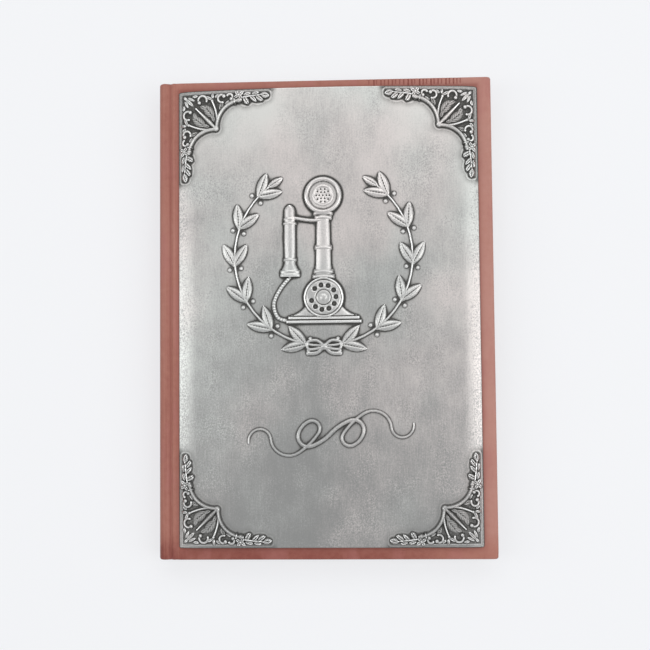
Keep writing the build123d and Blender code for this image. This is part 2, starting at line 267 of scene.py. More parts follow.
class Finish:
    """A procedural material."""

    name: str

    def sockets(self, graph: Graph) -> dict[str, Any]:
        """Values and wires for the Principled shader's inputs."""
        raise NotImplementedError

    def material(self) -> Material:
        """Build the material.

        Returns:
            The material.
        """
        material = bpy.data.materials.new(self.name)
        graph = Graph(material)
        shader = graph.principled(self.sockets(graph))
        graph.node("ShaderNodeOutputMaterial", None, {"Surface": shader})
        return material


@dataclass(frozen=True)
class LeatherCloth(Finish):
    """Smooth russet bookcloth with a fine leather grain, painted shade in its creases, its groove, round
    the plate and towards the tail, and a painted sheen towards the fore edge.
    """

    fore_edge: float
    head: float
    name: str = "leather_cloth"
    body: Colour = (0.386, 0.152, 0.112)
    # lighter tone: at random, and towards the fore edge a painted sheen
    worn: Colour = (0.478, 0.236, 0.192)
    rosy: Colour = (0.400, 0.148, 0.130)
    # darkest tone: random dark patches and mitre creases, and the painted shade that the mesh marks
    pressed: Colour = (0.215, 0.050, 0.036)
    grain: float = 2.6
    pebble: float = 1.5
    spine_place: float = -64.0
    band_pitch: float = 1.1
    turn_in: float = 12.0
    # painted sheen: the cloth turns lighter towards the fore edge between these places across
    fore_edge_sheen: Point = (20.0, 76.0)
    # painted shade: the cloth turns darker towards the tail between these places along
    painted_light: Point = (-94.0, -107.0)
    crease: Point = (0.16, 0.04)
    inner_low: Point = (1.6, 1.7)
    inner_high: Point = (15.6, 15.5)

    def sockets(self, graph: Graph) -> dict[str, Any]:
        """Paint a sheen towards the fore edge and shade towards the tail and where the mesh marks it, and
        press its grain in.

        Args:
            graph: The material's node tree.

        Returns:
            Values and wires for the Principled shader's inputs, by name.
        """
        across, along, _ = graph.axes()
        cloud = graph.noise(0.02, 4.0)
        mottle = graph.noise(0.35, 3.0)
        fine = graph.noise(self.grain, 4.0, 0.65)
        streak = graph.noise((1.0 / self.band_pitch, 0.012, 0.2), 2.0)
        near_spine = across.eased(self.spine_place + 4.0, self.spine_place - 4.0)
        # painted sheen towards the fore edge and painted shade towards the tail
        fade = across.eased(*self.fore_edge_sheen) * 0.75 + along.eased(*self.painted_light) * -0.72
        tone = (cloud - 0.5) * 0.8 + (mottle - 0.5) * 0.7 + (fine - 0.5) * 0.5 + fade
        tone = tone + (streak - 0.5) * near_spine * 1.3
        lit = graph.mix(tone.eased(-0.25, 1.15), self.body, self.worn)
        shade = graph.mix(tone.eased(0.1, -1.1), lit, self.pressed)
        rose = graph.noise((0.13, 0.05, 0.13), 3.0).eased(0.45, 0.7)
        shade = graph.mix(rose * 0.45, shade, self.rosy)
        # painted shade marked on the mesh: in the creases, in the groove and round the plate
        colour = graph.mix(graph.attribute("pressed").eased(0.0, 1.0), shade, self.pressed)
        cells = {"Vector": graph.place(self.pebble), "Scale": 1.0, "Smoothness": 0.6}
        pebble = graph.node("ShaderNodeTexVoronoi", {"feature": "SMOOTH_F1"}, cells, "Distance")
        return {
            "Base Color": graph.mix(self.mitres(graph) * 0.8, colour, self.pressed),
            "Roughness": 0.44 + fine * 0.22,
            "Specular IOR Level": 0.36,
            "Sheen Weight": 0.05,
            "Normal": graph.bump(pebble * 0.6 + fine * 0.7 + streak * near_spine * 0.5, 0.05, 0.7),
        }

    def mitres(self, graph: Graph) -> Wire:
        """Creases where the turned-in flaps meet at the covers' inner corners.

        Args:
            graph: The material's node tree.

        Returns:
            1 in a crease and 0 elsewhere.
        """
        across, along, up = graph.axes()
        in_x, in_y = across - self.fore_edge, along.size() - self.head
        start, end = -self.turn_in, 1.0 - self.turn_in
        corner = in_x.eased(start, end) * in_y.eased(start, end)
        crease = (in_x - in_y).size().eased(*self.crease)
        return crease * corner * up.eased(*self.inner_low) * up.eased(*self.inner_high)


@dataclass(frozen=True)
class Pewter(Finish):
    """Antiqued pewter: brushed flats with painted light across them, ridges rubbed bright with a painted
    highlight, and dark patina left in the hollows.
    """

    name: str = "antique_pewter"
    metal: Colour = (0.454, 0.465, 0.444)
    warm: Colour = (0.494, 0.457, 0.440)
    # ridges and rolled sides: polish with a painted highlight
    polish_and_highlight: Colour = (0.84, 0.84, 0.825)
    dull: Colour = (0.235, 0.236, 0.230)
    patina: Colour = (0.045, 0.044, 0.040)

    def sockets(self, graph: Graph) -> dict[str, Any]:
        """Shade the flats by noise and painted light, the raised work by its ridges with a painted
        highlight, and the sunk work by its hollows.

        Args:
            graph: The material's node tree.

        Returns:
            Values and wires for the Principled shader's inputs, by name.
        """
        across, along, _ = graph.axes()
        hollow, ridge = graph.attribute("hollow"), graph.attribute("ridge")
        brushed = graph.noise((3.2, 0.14, 1.0), 3.0, 0.6)
        cloud = graph.noise((0.035, 0.03, 0.03), 3.0)
        speck = graph.noise((1.7, 1.3, 1.5), 5.0, 0.75)
        fine = graph.noise((4.5, 3.6, 4.0), 3.0, 0.6)
        smear = graph.noise((0.12, 0.06, 0.12), 3.0, 0.5)
        worn = graph.noise((0.09, 0.06, 0.09), 2.0).eased(0.45, 0.7)
        tint = graph.noise((0.022, 0.018, 0.02), 2.0)
        rolled = ridge.eased(0.0, 0.1) * ridge.eased(0.28, 0.16)
        # along: the flats turn lighter towards the head, partly patina that is heavier at the tail and
        # partly painted light from the head
        tone = (brushed - 0.5) * 0.5 + (cloud - 0.5) * 1.0 + (smear - 0.5) * 0.3 + along * 0.0026
        tone = tone + (speck - 0.5) * (1.0 + worn * 1.5 + rolled * 2.6)
        # across squared: a painted highlight that lightens the flats towards both rolled sides
        tone = tone + across * across * 0.00003 + 0.42
        metal = graph.mix(tint.eased(0.35, 0.65), self.metal, self.warm)
        flat = graph.mix(tone.eased(0.0, 1.0), self.dull, metal)
        # raised work towards the bright colour: polish on the ridges and a painted highlight
        polished_and_highlit = graph.mix(ridge.eased(0.08, 0.9), flat, self.polish_and_highlight)
        # the hollows turn a little darker towards the head
        soot = hollow * (along * 0.0012 + 0.97)
        dirt = soot + (speck - 0.5) * (0.14 + hollow * 1.3) + (fine - 0.5) * (0.1 + hollow * 0.7)
        grit = (speck + fine) * (0.2 + worn * 0.45 + rolled * 0.8 + hollow * 0.5)
        return {
            "Base Color": graph.mix(dirt.eased(0.14, 0.85), polished_and_highlit, self.patina),
            "Metallic": 1.0 - dirt.eased(0.2, 0.9) * 0.65,
            "Roughness": 0.36 + dirt.eased(0.1, 0.8) * 0.3 + (fine - 0.5) * 0.2 - ridge * 0.18,
            "Normal": graph.bump(brushed * 0.3 + grit + cloud * 2.0, 0.05, 0.55),
        }


@dataclass(frozen=True)
class Paper(Finish):
    """Uncoated paper, cream towards its cut edges, with optional ruled lines."""

    name: str
    sheet: Colour = (0.925, 0.885, 0.815)
    aged: Colour = (0.80, 0.715, 0.58)
    ruled: bool = False
    rule_pitch: float = 7.5
    rule_ink: Colour = (0.42, 0.47, 0.52)
    rule_head: float = 84.0
    rule_tail: float = -98.0
    rule_left: float = -60.0
    rule_right: float = 58.0
    browned: Point = (68.0, 72.5)

    def sockets(self, graph: Graph) -> dict[str, Any]:
        """Cloud the sheet, age its fore edge and rule it.

        Args:
            graph: The material's node tree.

        Returns:
            Values and wires for the Principled shader's inputs, by name.
        """
        across, along, _ = graph.axes()
        fibre = graph.noise((1.4, 0.9, 1.4), 4.0, 0.7)
        cloud = graph.noise((0.03, 0.03, 0.6), 3.0)
        edge = across.eased(*self.browned) * 0.6
        colour = graph.mix((fibre * 0.35 + cloud * 0.6 + edge).eased(0.3, 1.2), self.sheet, self.aged)
        if self.ruled:
            line = ((along - self.rule_head) / self.rule_pitch).wave().eased(0.47, 0.485)
            inside = along.eased(self.rule_tail - 0.2, self.rule_tail)
            inside = inside * along.eased(self.rule_head + 0.2, self.rule_head)
            inside = inside * across.eased(self.rule_left - 0.1, self.rule_left)
            inside = inside * across.eased(self.rule_right + 0.1, self.rule_right)
            colour = graph.mix(line * inside * 0.8, colour, self.rule_ink)
        return {
            "Base Color": colour,
            "Roughness": 0.78 + fibre * 0.15,
            "Specular IOR Level": 0.25,
            "Normal": graph.bump(fibre, 0.02, 0.4),
        }


@dataclass(frozen=True)
class Endpaper(Finish):
    """Laid cream endpaper, with the edge of the turned-in cloth showing through as a soft step."""

    fore_edge: float
    head: float
    name: str = "endpaper"
    sheet: Colour = (0.80, 0.75, 0.655)
    aged: Colour = (0.66, 0.59, 0.47)
    laid_pitch: float = 1.2
    turn_in: float = 12.0

    def sockets(self, graph: Graph) -> dict[str, Any]:
        """Lay fine lines in the sheet and step it over the turned-in cloth.

        Args:
            graph: The material's node tree.

        Returns:
            Values and wires for the Principled shader's inputs, by name.
        """
        across, along, _ = graph.axes()
        fibre = graph.noise(1.1, 4.0, 0.7)
        cloud = graph.noise(0.05, 3.0)
        laid = (across / self.laid_pitch).wave()
        side, end = self.fore_edge - self.turn_in, self.head - self.turn_in
        inner = (across - side).at_least(along.size() - end)
        tone = fibre * 0.35 + cloud * 0.5 + laid * 0.15 + inner.eased(8.0, 12.5) * 0.5
        return {
            "Base Color": graph.mix(tone.eased(0.3, 1.2), self.sheet, self.aged),
            "Roughness": 0.75 + fibre * 0.15,
            "Specular IOR Level": 0.25,
            "Normal": graph.bump(inner.eased(-0.5, 0.5) + fibre * 0.12 + laid * 0.06, 0.25, 0.8),
        }


@dataclass(frozen=True)
class BandThread(Finish):
    """Silk thread wound in stripes of two colours round the bands at head and tail."""

    name: str = "band_thread"
    light: Colour = (0.72, 0.66, 0.53)
    dark: Colour = (0.32, 0.07, 0.055)
    soiled: Colour = (0.1, 0.06, 0.04)
    stripe: float = 2.2

    def sockets(self, graph: Graph) -> dict[str, Any]:
        """Stripe the thread along the band and soil it between its fibres.

        Args:
            graph: The material's node tree.

        Returns:
            Values and wires for the Principled shader's inputs, by name.
        """
        fibre = graph.noise((6.0, 6.0, 20.0), 3.0)
        turn = (graph.axes()[2] / self.stripe).wave().eased(0.23, 0.27)
        silk = graph.mix(turn, self.dark, self.light)
        return {
            "Base Color": graph.mix(fibre.eased(0.3, 0.9) * 0.3, silk, self.soiled),
            "Roughness": 0.5 + fibre * 0.3,
            "Normal": graph.bump(fibre, 0.04, 0.6),
        }


@dataclass(frozen=True)
class Plain(Finish):
    """Card, lining or ink: one colour with a fine weave or fibre."""

    name: str
    body: Colour
    shade: Colour
    scale: Triple = (2.0, 2.0, 2.0)
    roughness: float = 0.8

    def sockets(self, graph: Graph) -> dict[str, Any]:
        """Shade the one colour by its weave.

        Args:
            graph: The material's node tree.

        Returns:
            Values and wires for the Principled shader's inputs, by name.
        """
        weave = graph.noise(self.scale, 4.0, 0.65)
        return {
            "Base Color": graph.mix(weave.eased(0.25, 0.8), self.body, self.shade),
            "Roughness": self.roughness + (weave - 0.5) * 0.2,
            "Normal": graph.bump(weave, 0.06, 0.6),
        }


# ---- mesh work ------------------------------------------------------------------------------------
def linked(name: str, data: bpy.types.ID) -> Object:
    """Put an object with some data into the scene.

    Args:
        name: The object's name.
        data: Its mesh, curve, lamp or camera.

    Returns:
        The object.
    """
    made = bpy.data.objects.new(name, data)
    bpy.context.scene.collection.objects.link(made)
    return made


def add_piece(
    name: str,
    bm: BMesh,
    materials: Sequence[Material],
    replaces: str = "",
    body: str = "",
    crease: float = 50.0,
) -> Object:
    """Turn a mesh in millimetres into a finished piece at the origin, in metres.

    Args:
        name: The piece's name.
        bm: Its mesh, which is freed.
        materials: Its materials in the order of the faces' indices.
        replaces: The CAD node that it stands for, if any.
        body: The body that it rides on, unless it blends.
        crease: Edges that turn by more degrees than this stay sharp.

    Returns:
        The new object.
    """
    bmesh.ops.scale(bm, vec=(MM, MM, MM), verts=bm.verts)
    mesh = bpy.data.meshes.new(name)
    bm.to_mesh(mesh)
    bm.free()
    mesh.shade_smooth()
    mesh.set_sharp_from_angle(angle=math.radians(crease))
    for material in materials:
        mesh.materials.append(material)
    piece = linked(name, mesh)
    if replaces:
        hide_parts(replaces)
    if body:
        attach(piece, body)
    log.info("%s: %d faces", name, len(mesh.polygons))
    return piece


def new_verts(geom: Iterable[Any]) -> list[BMVert]:
    """Pick the vertices out of what an operator made."""
    return [item for item in geom if isinstance(item, BMVert)]


def bevel(bm: BMesh, geom: Sequence[Any], offset: float, segments: int, affect: str = "EDGES") -> None:
    """Round edges or corners off."""
    options = {"profile": 0.5, "affect": affect, "material": -1}
    bmesh.ops.bevel(bm, geom=geom, offset=offset, segments=segments, **options)


def face_towards(bm: BMesh, way: Triple) -> None:
    """Turn an open sheet's faces to the side that a direction gives.

    Args:
        bm: The sheet.
        way: The direction.
    """
    bmesh.ops.recalc_face_normals(bm, faces=bm.faces)
    if sum(face.normal.dot(way) for face in bm.faces) < 0:
        bmesh.ops.reverse_faces(bm, faces=bm.faces)


def stretched(places: Sequence[float], counts: Sequence[int]) -> Grid:
    """Spread grid lines so that each stretch between two places has its own count of cells.

    Args:
        places: Where the stretches begin and end.
        counts: The cells in each stretch.

    Returns:
        The lines' places.
    """
    ends = zip(places[:-1], places[1:], counts)
    runs = [np.linspace(low, high, count, endpoint=False) for low, high, count in ends]
    return np.append(np.concatenate(runs), places[-1])


@dataclass
class Sheet:
    """A flat grid of vertices at chosen lines, raised by a height and closed underneath."""

    across: Grid
    along: Grid

    def __post_init__(self) -> None:
        """Lay the grid out and note where each vertex stands in it."""
        self.bm = bmesh.new()
        columns, rows = len(self.across) - 1, len(self.along) - 1
        bmesh.ops.create_grid(self.bm, x_segments=columns, y_segments=rows, size=1.0)
        self.bm.verts.ensure_lookup_table()
        places = np.array([vert.co[:2] for vert in self.bm.verts])
        self.column = np.rint((places[:, 0] + 1.0) / 2.0 * columns).astype(int)
        self.row = np.rint((places[:, 1] + 1.0) / 2.0 * rows).astype(int)
        self.x, self.y = np.meshgrid(self.across, self.along)

    def move(self, x: Grid, y: Grid, z: Grid) -> None:
        """Put every vertex at its place from three arrays of rows and columns.

        Args:
            x: Places across.
            y: Places along.
            z: Heights.
        """
        spots = np.stack([x, y, z], axis=-1)[self.row, self.column]
        for vert, spot in zip(self.bm.verts, spots.tolist()):
            vert.co = spot

    def mark(self, name: str, values: Grid) -> None:
        """Store a number on every vertex under a name that materials read.

        Args:
            name: The number's name.
            values: The numbers by row and column.
        """
        layer = self.bm.verts.layers.float.new(name)
        for vert, value in zip(self.bm.verts, values[self.row, self.column].tolist()):
            vert[layer] = value

    def drop(self, outside: Grid) -> None:
        """Delete the faces whose vertices all lie where outside is true.

        Args:
            outside: Whether each vertex lies outside, by row and column.
        """
        gone = {vert for vert, out in zip(self.bm.verts, outside[self.row, self.column]) if out}
        faces = [face for face in self.bm.faces if gone.issuperset(face.verts)]
        bmesh.ops.delete(self.bm, geom=faces, context="FACES")

    def close(self, floor: float) -> BMesh:
        """Run the rim down to a floor height, fill the underside and return the closed mesh.

        Args:
            floor: The underside's height.

        Returns:
            The closed mesh.
        """
        rim = [edge for edge in self.bm.edges if edge.is_boundary]
        for vert in new_verts(bmesh.ops.extrude_edge_only(self.bm, edges=rim)["geom"]):
            vert.co.z = floor
        rim = [edge for edge in self.bm.edges if edge.is_boundary]
        bmesh.ops.holes_fill(self.bm, edges=rim, sides=0)
        bmesh.ops.recalc_face_normals(self.bm, faces=self.bm.faces)
        return self.bm


@dataclass(frozen=True)
class Panel:
    """A flat rectangle with rounded corners, which a plain grid is drawn into."""

    left: float
    right: float
    tail: float
    head: float
    corner: float = 0.0

    def shaped(self, x: Grid, y: Grid) -> tuple[Grid, Grid]:
        """Draw places near the corners of the plain rectangle in, on to the rounded outline.

        Args:
            x: Places across.
            y: Places along.

        Returns:
            Both, drawn in.
        """
        off_x, off_y = x - (self.left + self.right) / 2, y - (self.tail + self.head) / 2
        past_x = np.clip(np.abs(off_x) - ((self.right - self.left) / 2 - self.corner), 0.0, None)
        past_y = np.clip(np.abs(off_y) - ((self.head - self.tail) / 2 - self.corner), 0.0, None)
        reach = np.hypot(past_x, past_y)
        pull = np.where(reach > 0.0, np.maximum(past_x, past_y) / np.where(reach > 0.0, reach, 1.0), 1.0)
        x = x - np.sign(off_x) * past_x * (1.0 - pull)
        return x, y - np.sign(off_y) * past_y * (1.0 - pull)

    def inset(self, x: Grid, y: Grid) -> Grid:
        """Distance of plain places inside the nearest edge."""
        aside = np.minimum(x - self.left, self.right - x)
        return np.minimum(aside, np.minimum(y - self.tail, self.head - y))


def paper_hinge(
    name: str,
    box: tuple[Point, Point, Point],
    cuts: int,
    finish: tuple[Material, Slot],
    bend: tuple[str, float],
) -> None:
    """Model a thin strip of paper between the book block and a body.

    Args:
        name: The piece's name.
        box: Its limits in x, y and z.
        cuts: How many divisions it has across.
        finish: Its material, and a slot that is not used.
        bend: A body and a height; not used.
    """
    across, along, up = box
    material, slot = finish
    body, height = bend
    sheet = Sheet(np.linspace(*across, cuts + 1), np.array(along, float))
    sheet.move(sheet.x, sheet.y, np.full_like(sheet.x, up[1]))
    piece = add_piece(name, sheet.close(up[0]), [material])
    start, end = ((x * MM, 0.0, height * MM) for x in across)
    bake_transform(piece)


# ---- relief ---------------------------------------------------------------------------------------
def unit(values: Grid) -> Grid:
    """Keep values from 0 to 1."""
    return np.clip(values, 0.0, 1.0)


def dome(offset: Grid) -> Grid:
    """1 in the middle, and down to 0 at an offset of 1."""
    return unit(1.0 - offset**2)


def halo(offset: Grid) -> Grid:
    """1 in the middle, and fading softly to about a third at an offset of 1."""
    return np.exp(-(offset**2))


def quarter_round(share: Grid) -> Grid:
    """Climb from 0 to 1 on a quarter of a circle."""
    return np.sqrt(1.0 - (1.0 - unit(share)) ** 2)


def scatter(number: Grid, rate: float = 12.9898, spread: float = 43758.5453) -> Grid:
    """Turn whole numbers into values from 0 to 1 that look random but are always the same."""
    wave = np.sin(number * rate) * spread
    return wave - np.floor(wave)


def rounded_fall(inset: Grid, radius: float) -> Grid:
    """How far a rounded edge lies below the flat at a distance inside it."""
    return radius * (1.0 - quarter_round(inset / radius))


def polar(centre: Point, radius: float, angle: float) -> Point:
    """The point at a radius and an angle in degrees from a centre."""
    turn = math.radians(angle)
    return centre[0] + radius * math.cos(turn), centre[1] + radius * math.sin(turn)


def spin(angle: float) -> Grid:
    """The matrix of a turn in radians."""
    return np.array([[math.cos(angle), -math.sin(angle)], [math.sin(angle), math.cos(angle)]])


def smooth_path(points: Sequence[Point], steps: int = 8) -> Grid:
    """Run a smooth curve through a few points.

    Args:
        points: The points that it passes.
        steps: How many short runs each stretch gets.

    Returns:
        The curve's points.
    """
    knots = np.array([points[0], *points, points[-1]], float)
    share = np.linspace(0.0, 1.0, steps, endpoint=False)[:, None]
    runs = []
    for before, start, end, after in zip(knots, knots[1:], knots[2:], knots[3:]):
        pull, turn = (end - before) / 2, (after - start) / 2
        bend = (3 * (end - start) - 2 * pull - turn) * share**2
        runs.append(start + pull * share + bend + (2 * (start - end) + pull + turn) * share**3)
    return np.vstack([*runs, knots[-1:]])


def arc_path(centre: Point, radius: float, start: float, turn: float, shrink: float = 0.0) -> Grid:
    """Sample an arc or a spiral.

    Args:
        centre: Its middle.
        radius: Its first radius.
        start: Its first angle in degrees.
        turn: How far it turns in degrees.
        shrink: How much its radius loses by the end.

    Returns:
        The points.
    """
    share = np.linspace(0.0, 1.0, max(6, int(abs(turn) / 6)))
    angle = np.radians(start + turn * share)
    reach = radius - shrink * share
    return np.stack([centre[0] + reach * np.cos(angle), centre[1] + reach * np.sin(angle)], axis=-1)


def tangent_arcs(start: Point, heading: Point, bends: Sequence[Point], steps: int = 9) -> Grid:
    """Chain arcs through some points, each leaving in the direction in which the last one arrived.

    Args:
        start: The first point.
        heading: The first direction.
        bends: The arcs' end points.
        steps: How many runs each arc gets.

    Returns:
        The chain's points.
    """
    at, way = np.array(start, float), np.array(heading, float)
    points = [at]
    for bend in bends:
        way = way / np.hypot(*way)
        chord = np.array(bend, float) - at
        side = np.array([-way[1], way[0]])
        middle = at + side * (chord @ chord) / (2 * (chord @ side))
        angle = 2 * math.atan2(chord @ side, chord @ way)
        points += [middle + spin(angle * k / steps) @ (at - middle) for k in range(1, steps + 1)]
        at, way = points[-1], spin(angle) @ way
    return np.array(points)


def blurred(values: Grid, reach: int) -> Grid:
    """Average a grid over a soft square window.

    Args:
        values: The grid.
        reach: The window's half width in cells.

    Returns:
        The averaged grid.
    """
    kernel = np.hanning(2 * reach + 3)[1:-1]
    kernel = kernel / kernel.sum()
    for axis in (0, 1):
        count = values.shape[axis]
        padded = np.pad(values, [(reach, reach) if axis == k else (0, 0) for k in (0, 1)], mode="edge")
        shifts = (np.take(padded, range(k, k + count), axis=axis) for k in range(len(kernel)))
        values = sum(weight * shift for weight, shift in zip(kernel, shifts))
    return values


class Relief:
    """Heights in millimetres over a patch, raised and cut stroke by stroke."""

    def __init__(self, x: Grid, y: Grid) -> None:
        """Start flat over a grid of places."""
        self.x, self.y = x, y
        self.height = np.zeros_like(x)

    def gap(self, centre: Point) -> Grid:
        """Distance of every place from a point."""
        return np.hypot(self.x - centre[0], self.y - centre[1])

    def along(self, path: Grid) -> tuple[Grid, Grid]:
        """Measure every place against a path.

        Args:
            path: The path's points.

        Returns:
            The distance to the path, and the share of its length at the nearest point.
        """
        gap = np.full(self.x.shape, np.inf)
        run = np.zeros_like(gap)
        lengths = np.hypot(*np.diff(path, axis=0).T)
        starts = np.concatenate([[0.0], np.cumsum(lengths)])
        for (ax, ay), (bx, by), length, start in zip(path, path[1:], lengths, starts):
            if length > 0.0:
                dx, dy = bx - ax, by - ay
                share = unit(((self.x - ax) * dx + (self.y - ay) * dy) / length**2)
                away = np.hypot(self.x - ax - share * dx, self.y - ay - share * dy)
                run = np.where(away < gap, start + share * length, run)
                gap = np.minimum(gap, away)
        return gap, run / starts[-1]

    def raise_to(self, level: Grid) -> None:
        """Lift the surface to a level where it is lower."""
        self.height = np.maximum(self.height, level)

    def cut(self, depth: Grid) -> None:
        """Lower the surface."""
        self.height = self.height - depth

    def swell(self, inside: Grid, rise: float, base: float = 0.0, power: float = 0.5) -> None:
        """Raise a rounded form from its base, where inside is 0, to its rise, where inside is 1."""
        self.raise_to(np.where(inside > 0.0, base + (rise - base) * inside**power, 0.0))

    def cord(self, path: Grid, width: float, rise: float, tip: float = 1.0, base: float = 0.0) -> None:
        """Raise a rounded cord on a path; its width at the end is the start's times the tip."""
        gap, run = self.along(path)
        self.swell(dome(gap / (width / 2 * (1.0 + (tip - 1.0) * run))), rise, base)

    def bead(self, centre: Point, radius: float, rise: float, base: float = 0.0) -> None:
        """Raise a domed bead."""
        self.swell(dome(self.gap(centre) / radius), rise, base)

    def disc(self, centre: Point, radius: float, rise: float, edge: float = 0.35) -> Grid:
        """Raise a flat disc with a rounded edge and return the distance from its middle.

        Args:
            centre: Its middle.
            radius: Its radius.
            rise: Its height.
            edge: Its edge's width.

        Returns:
            The distance of every place from its middle.
        """
        gap = self.gap(centre)
        self.raise_to(rise * quarter_round((radius - gap) / edge))
        return gap

    def ring(self, axis: float, height: float, half: float, thick: float, rise: float) -> None:
        """Raise a ring moulding round an upright axis, of a half width and half thickness."""
        inside = dome((self.y - height) / thick) * dome((self.x - axis) / half)
        self.swell(inside, rise, power=0.4)

    def leaf(
        self,
        centre: Point,
        angle: float,
        size: Point,
        rise: float,
        base: float = 0.0,
        ribbing: float = 0.13,
    ) -> None:
        """Raise a pointed leaf with a sunk midrib and side veins.

        Args:
            centre: Its middle.
            angle: The direction of its tip in degrees.
            size: Its length from stalk to tip, and its breadth.
            rise: Its height.
            base: The height that it stands on.
            ribbing: How deep its side veins are cut.
        """
        length, breadth = size
        turn = math.radians(angle)
        dx, dy = self.x - centre[0], self.y - centre[1]
        run = dx * math.cos(turn) + dy * math.sin(turn)
        off = dy * math.cos(turn) - dx * math.sin(turn)
        share = dome(2.0 * run / length)
        inside = dome(off / (breadth / 2 * share**0.85 + TINY))
        body = np.where(share > 0.0, inside**0.45 * (0.55 + 0.45 * share**0.5), 0.0)
        rib = halo(off / (breadth * 0.075)) * 0.42
        pitch = min(breadth * 0.42, 1.3)
        veins = 0.5 + 0.5 * np.cos((run - np.abs(off) * 1.1) * 2 * math.pi / pitch)
        self.swell(body * (1.0 - rib * (share > 0.05) - veins * ribbing), rise, base, 1.0)

    def turned(
        self, axis: float, low: float, high: float, half: Callable[[Grid], Grid], rise: float
    ) -> None:
        """Raise a turned body seen from the side.

        Args:
            axis: Where its upright axis stands.
            low: Its lower end.
            high: Its upper end.
            half: Its half width at a share of its height, from 0 to 1.
            rise: Its height at the axis.
        """
        share = (self.y - low) / (high - low)
        inside = dome((self.x - axis) / half(unit(share))) * ((share >= 0.0) & (share <= 1.0))
        self.swell(inside, rise, 0.35 * rise)

    def tones(self, step: float) -> tuple[Grid, Grid]:
        """Tell hollows from ridges by comparing each height with its surroundings.

        Args:
            step: The grid's pitch in millimetres.

        Returns:
            How far each place lies in a hollow and how far it stands up as a ridge.
        """
        near = blurred(self.height, max(1, round(0.6 / step)))
        wide = blurred(self.height, max(2, round(2.2 / step)))
        crevice = np.clip((near - self.height) * 2.6, 0.0, 0.8)
        hollow = unit(crevice + np.clip(wide - self.height, 0.0, 0.4) * 1.5)
        return hollow, unit((self.height - near) * 3.6 - 0.12)


# ---- the case -------------------------------------------------------------------------------------
@dataclass(frozen=True)
class Side:
    """One cover: its cloth's box, its hinge line's height, and 1 where its outside faces up, else -1."""

    name: str
    cloth: Span
    hinge_z: float
    outer: float

    @property
    def body(self) -> str:
        """The cover's body."""
        return f"{self.name}_cover"


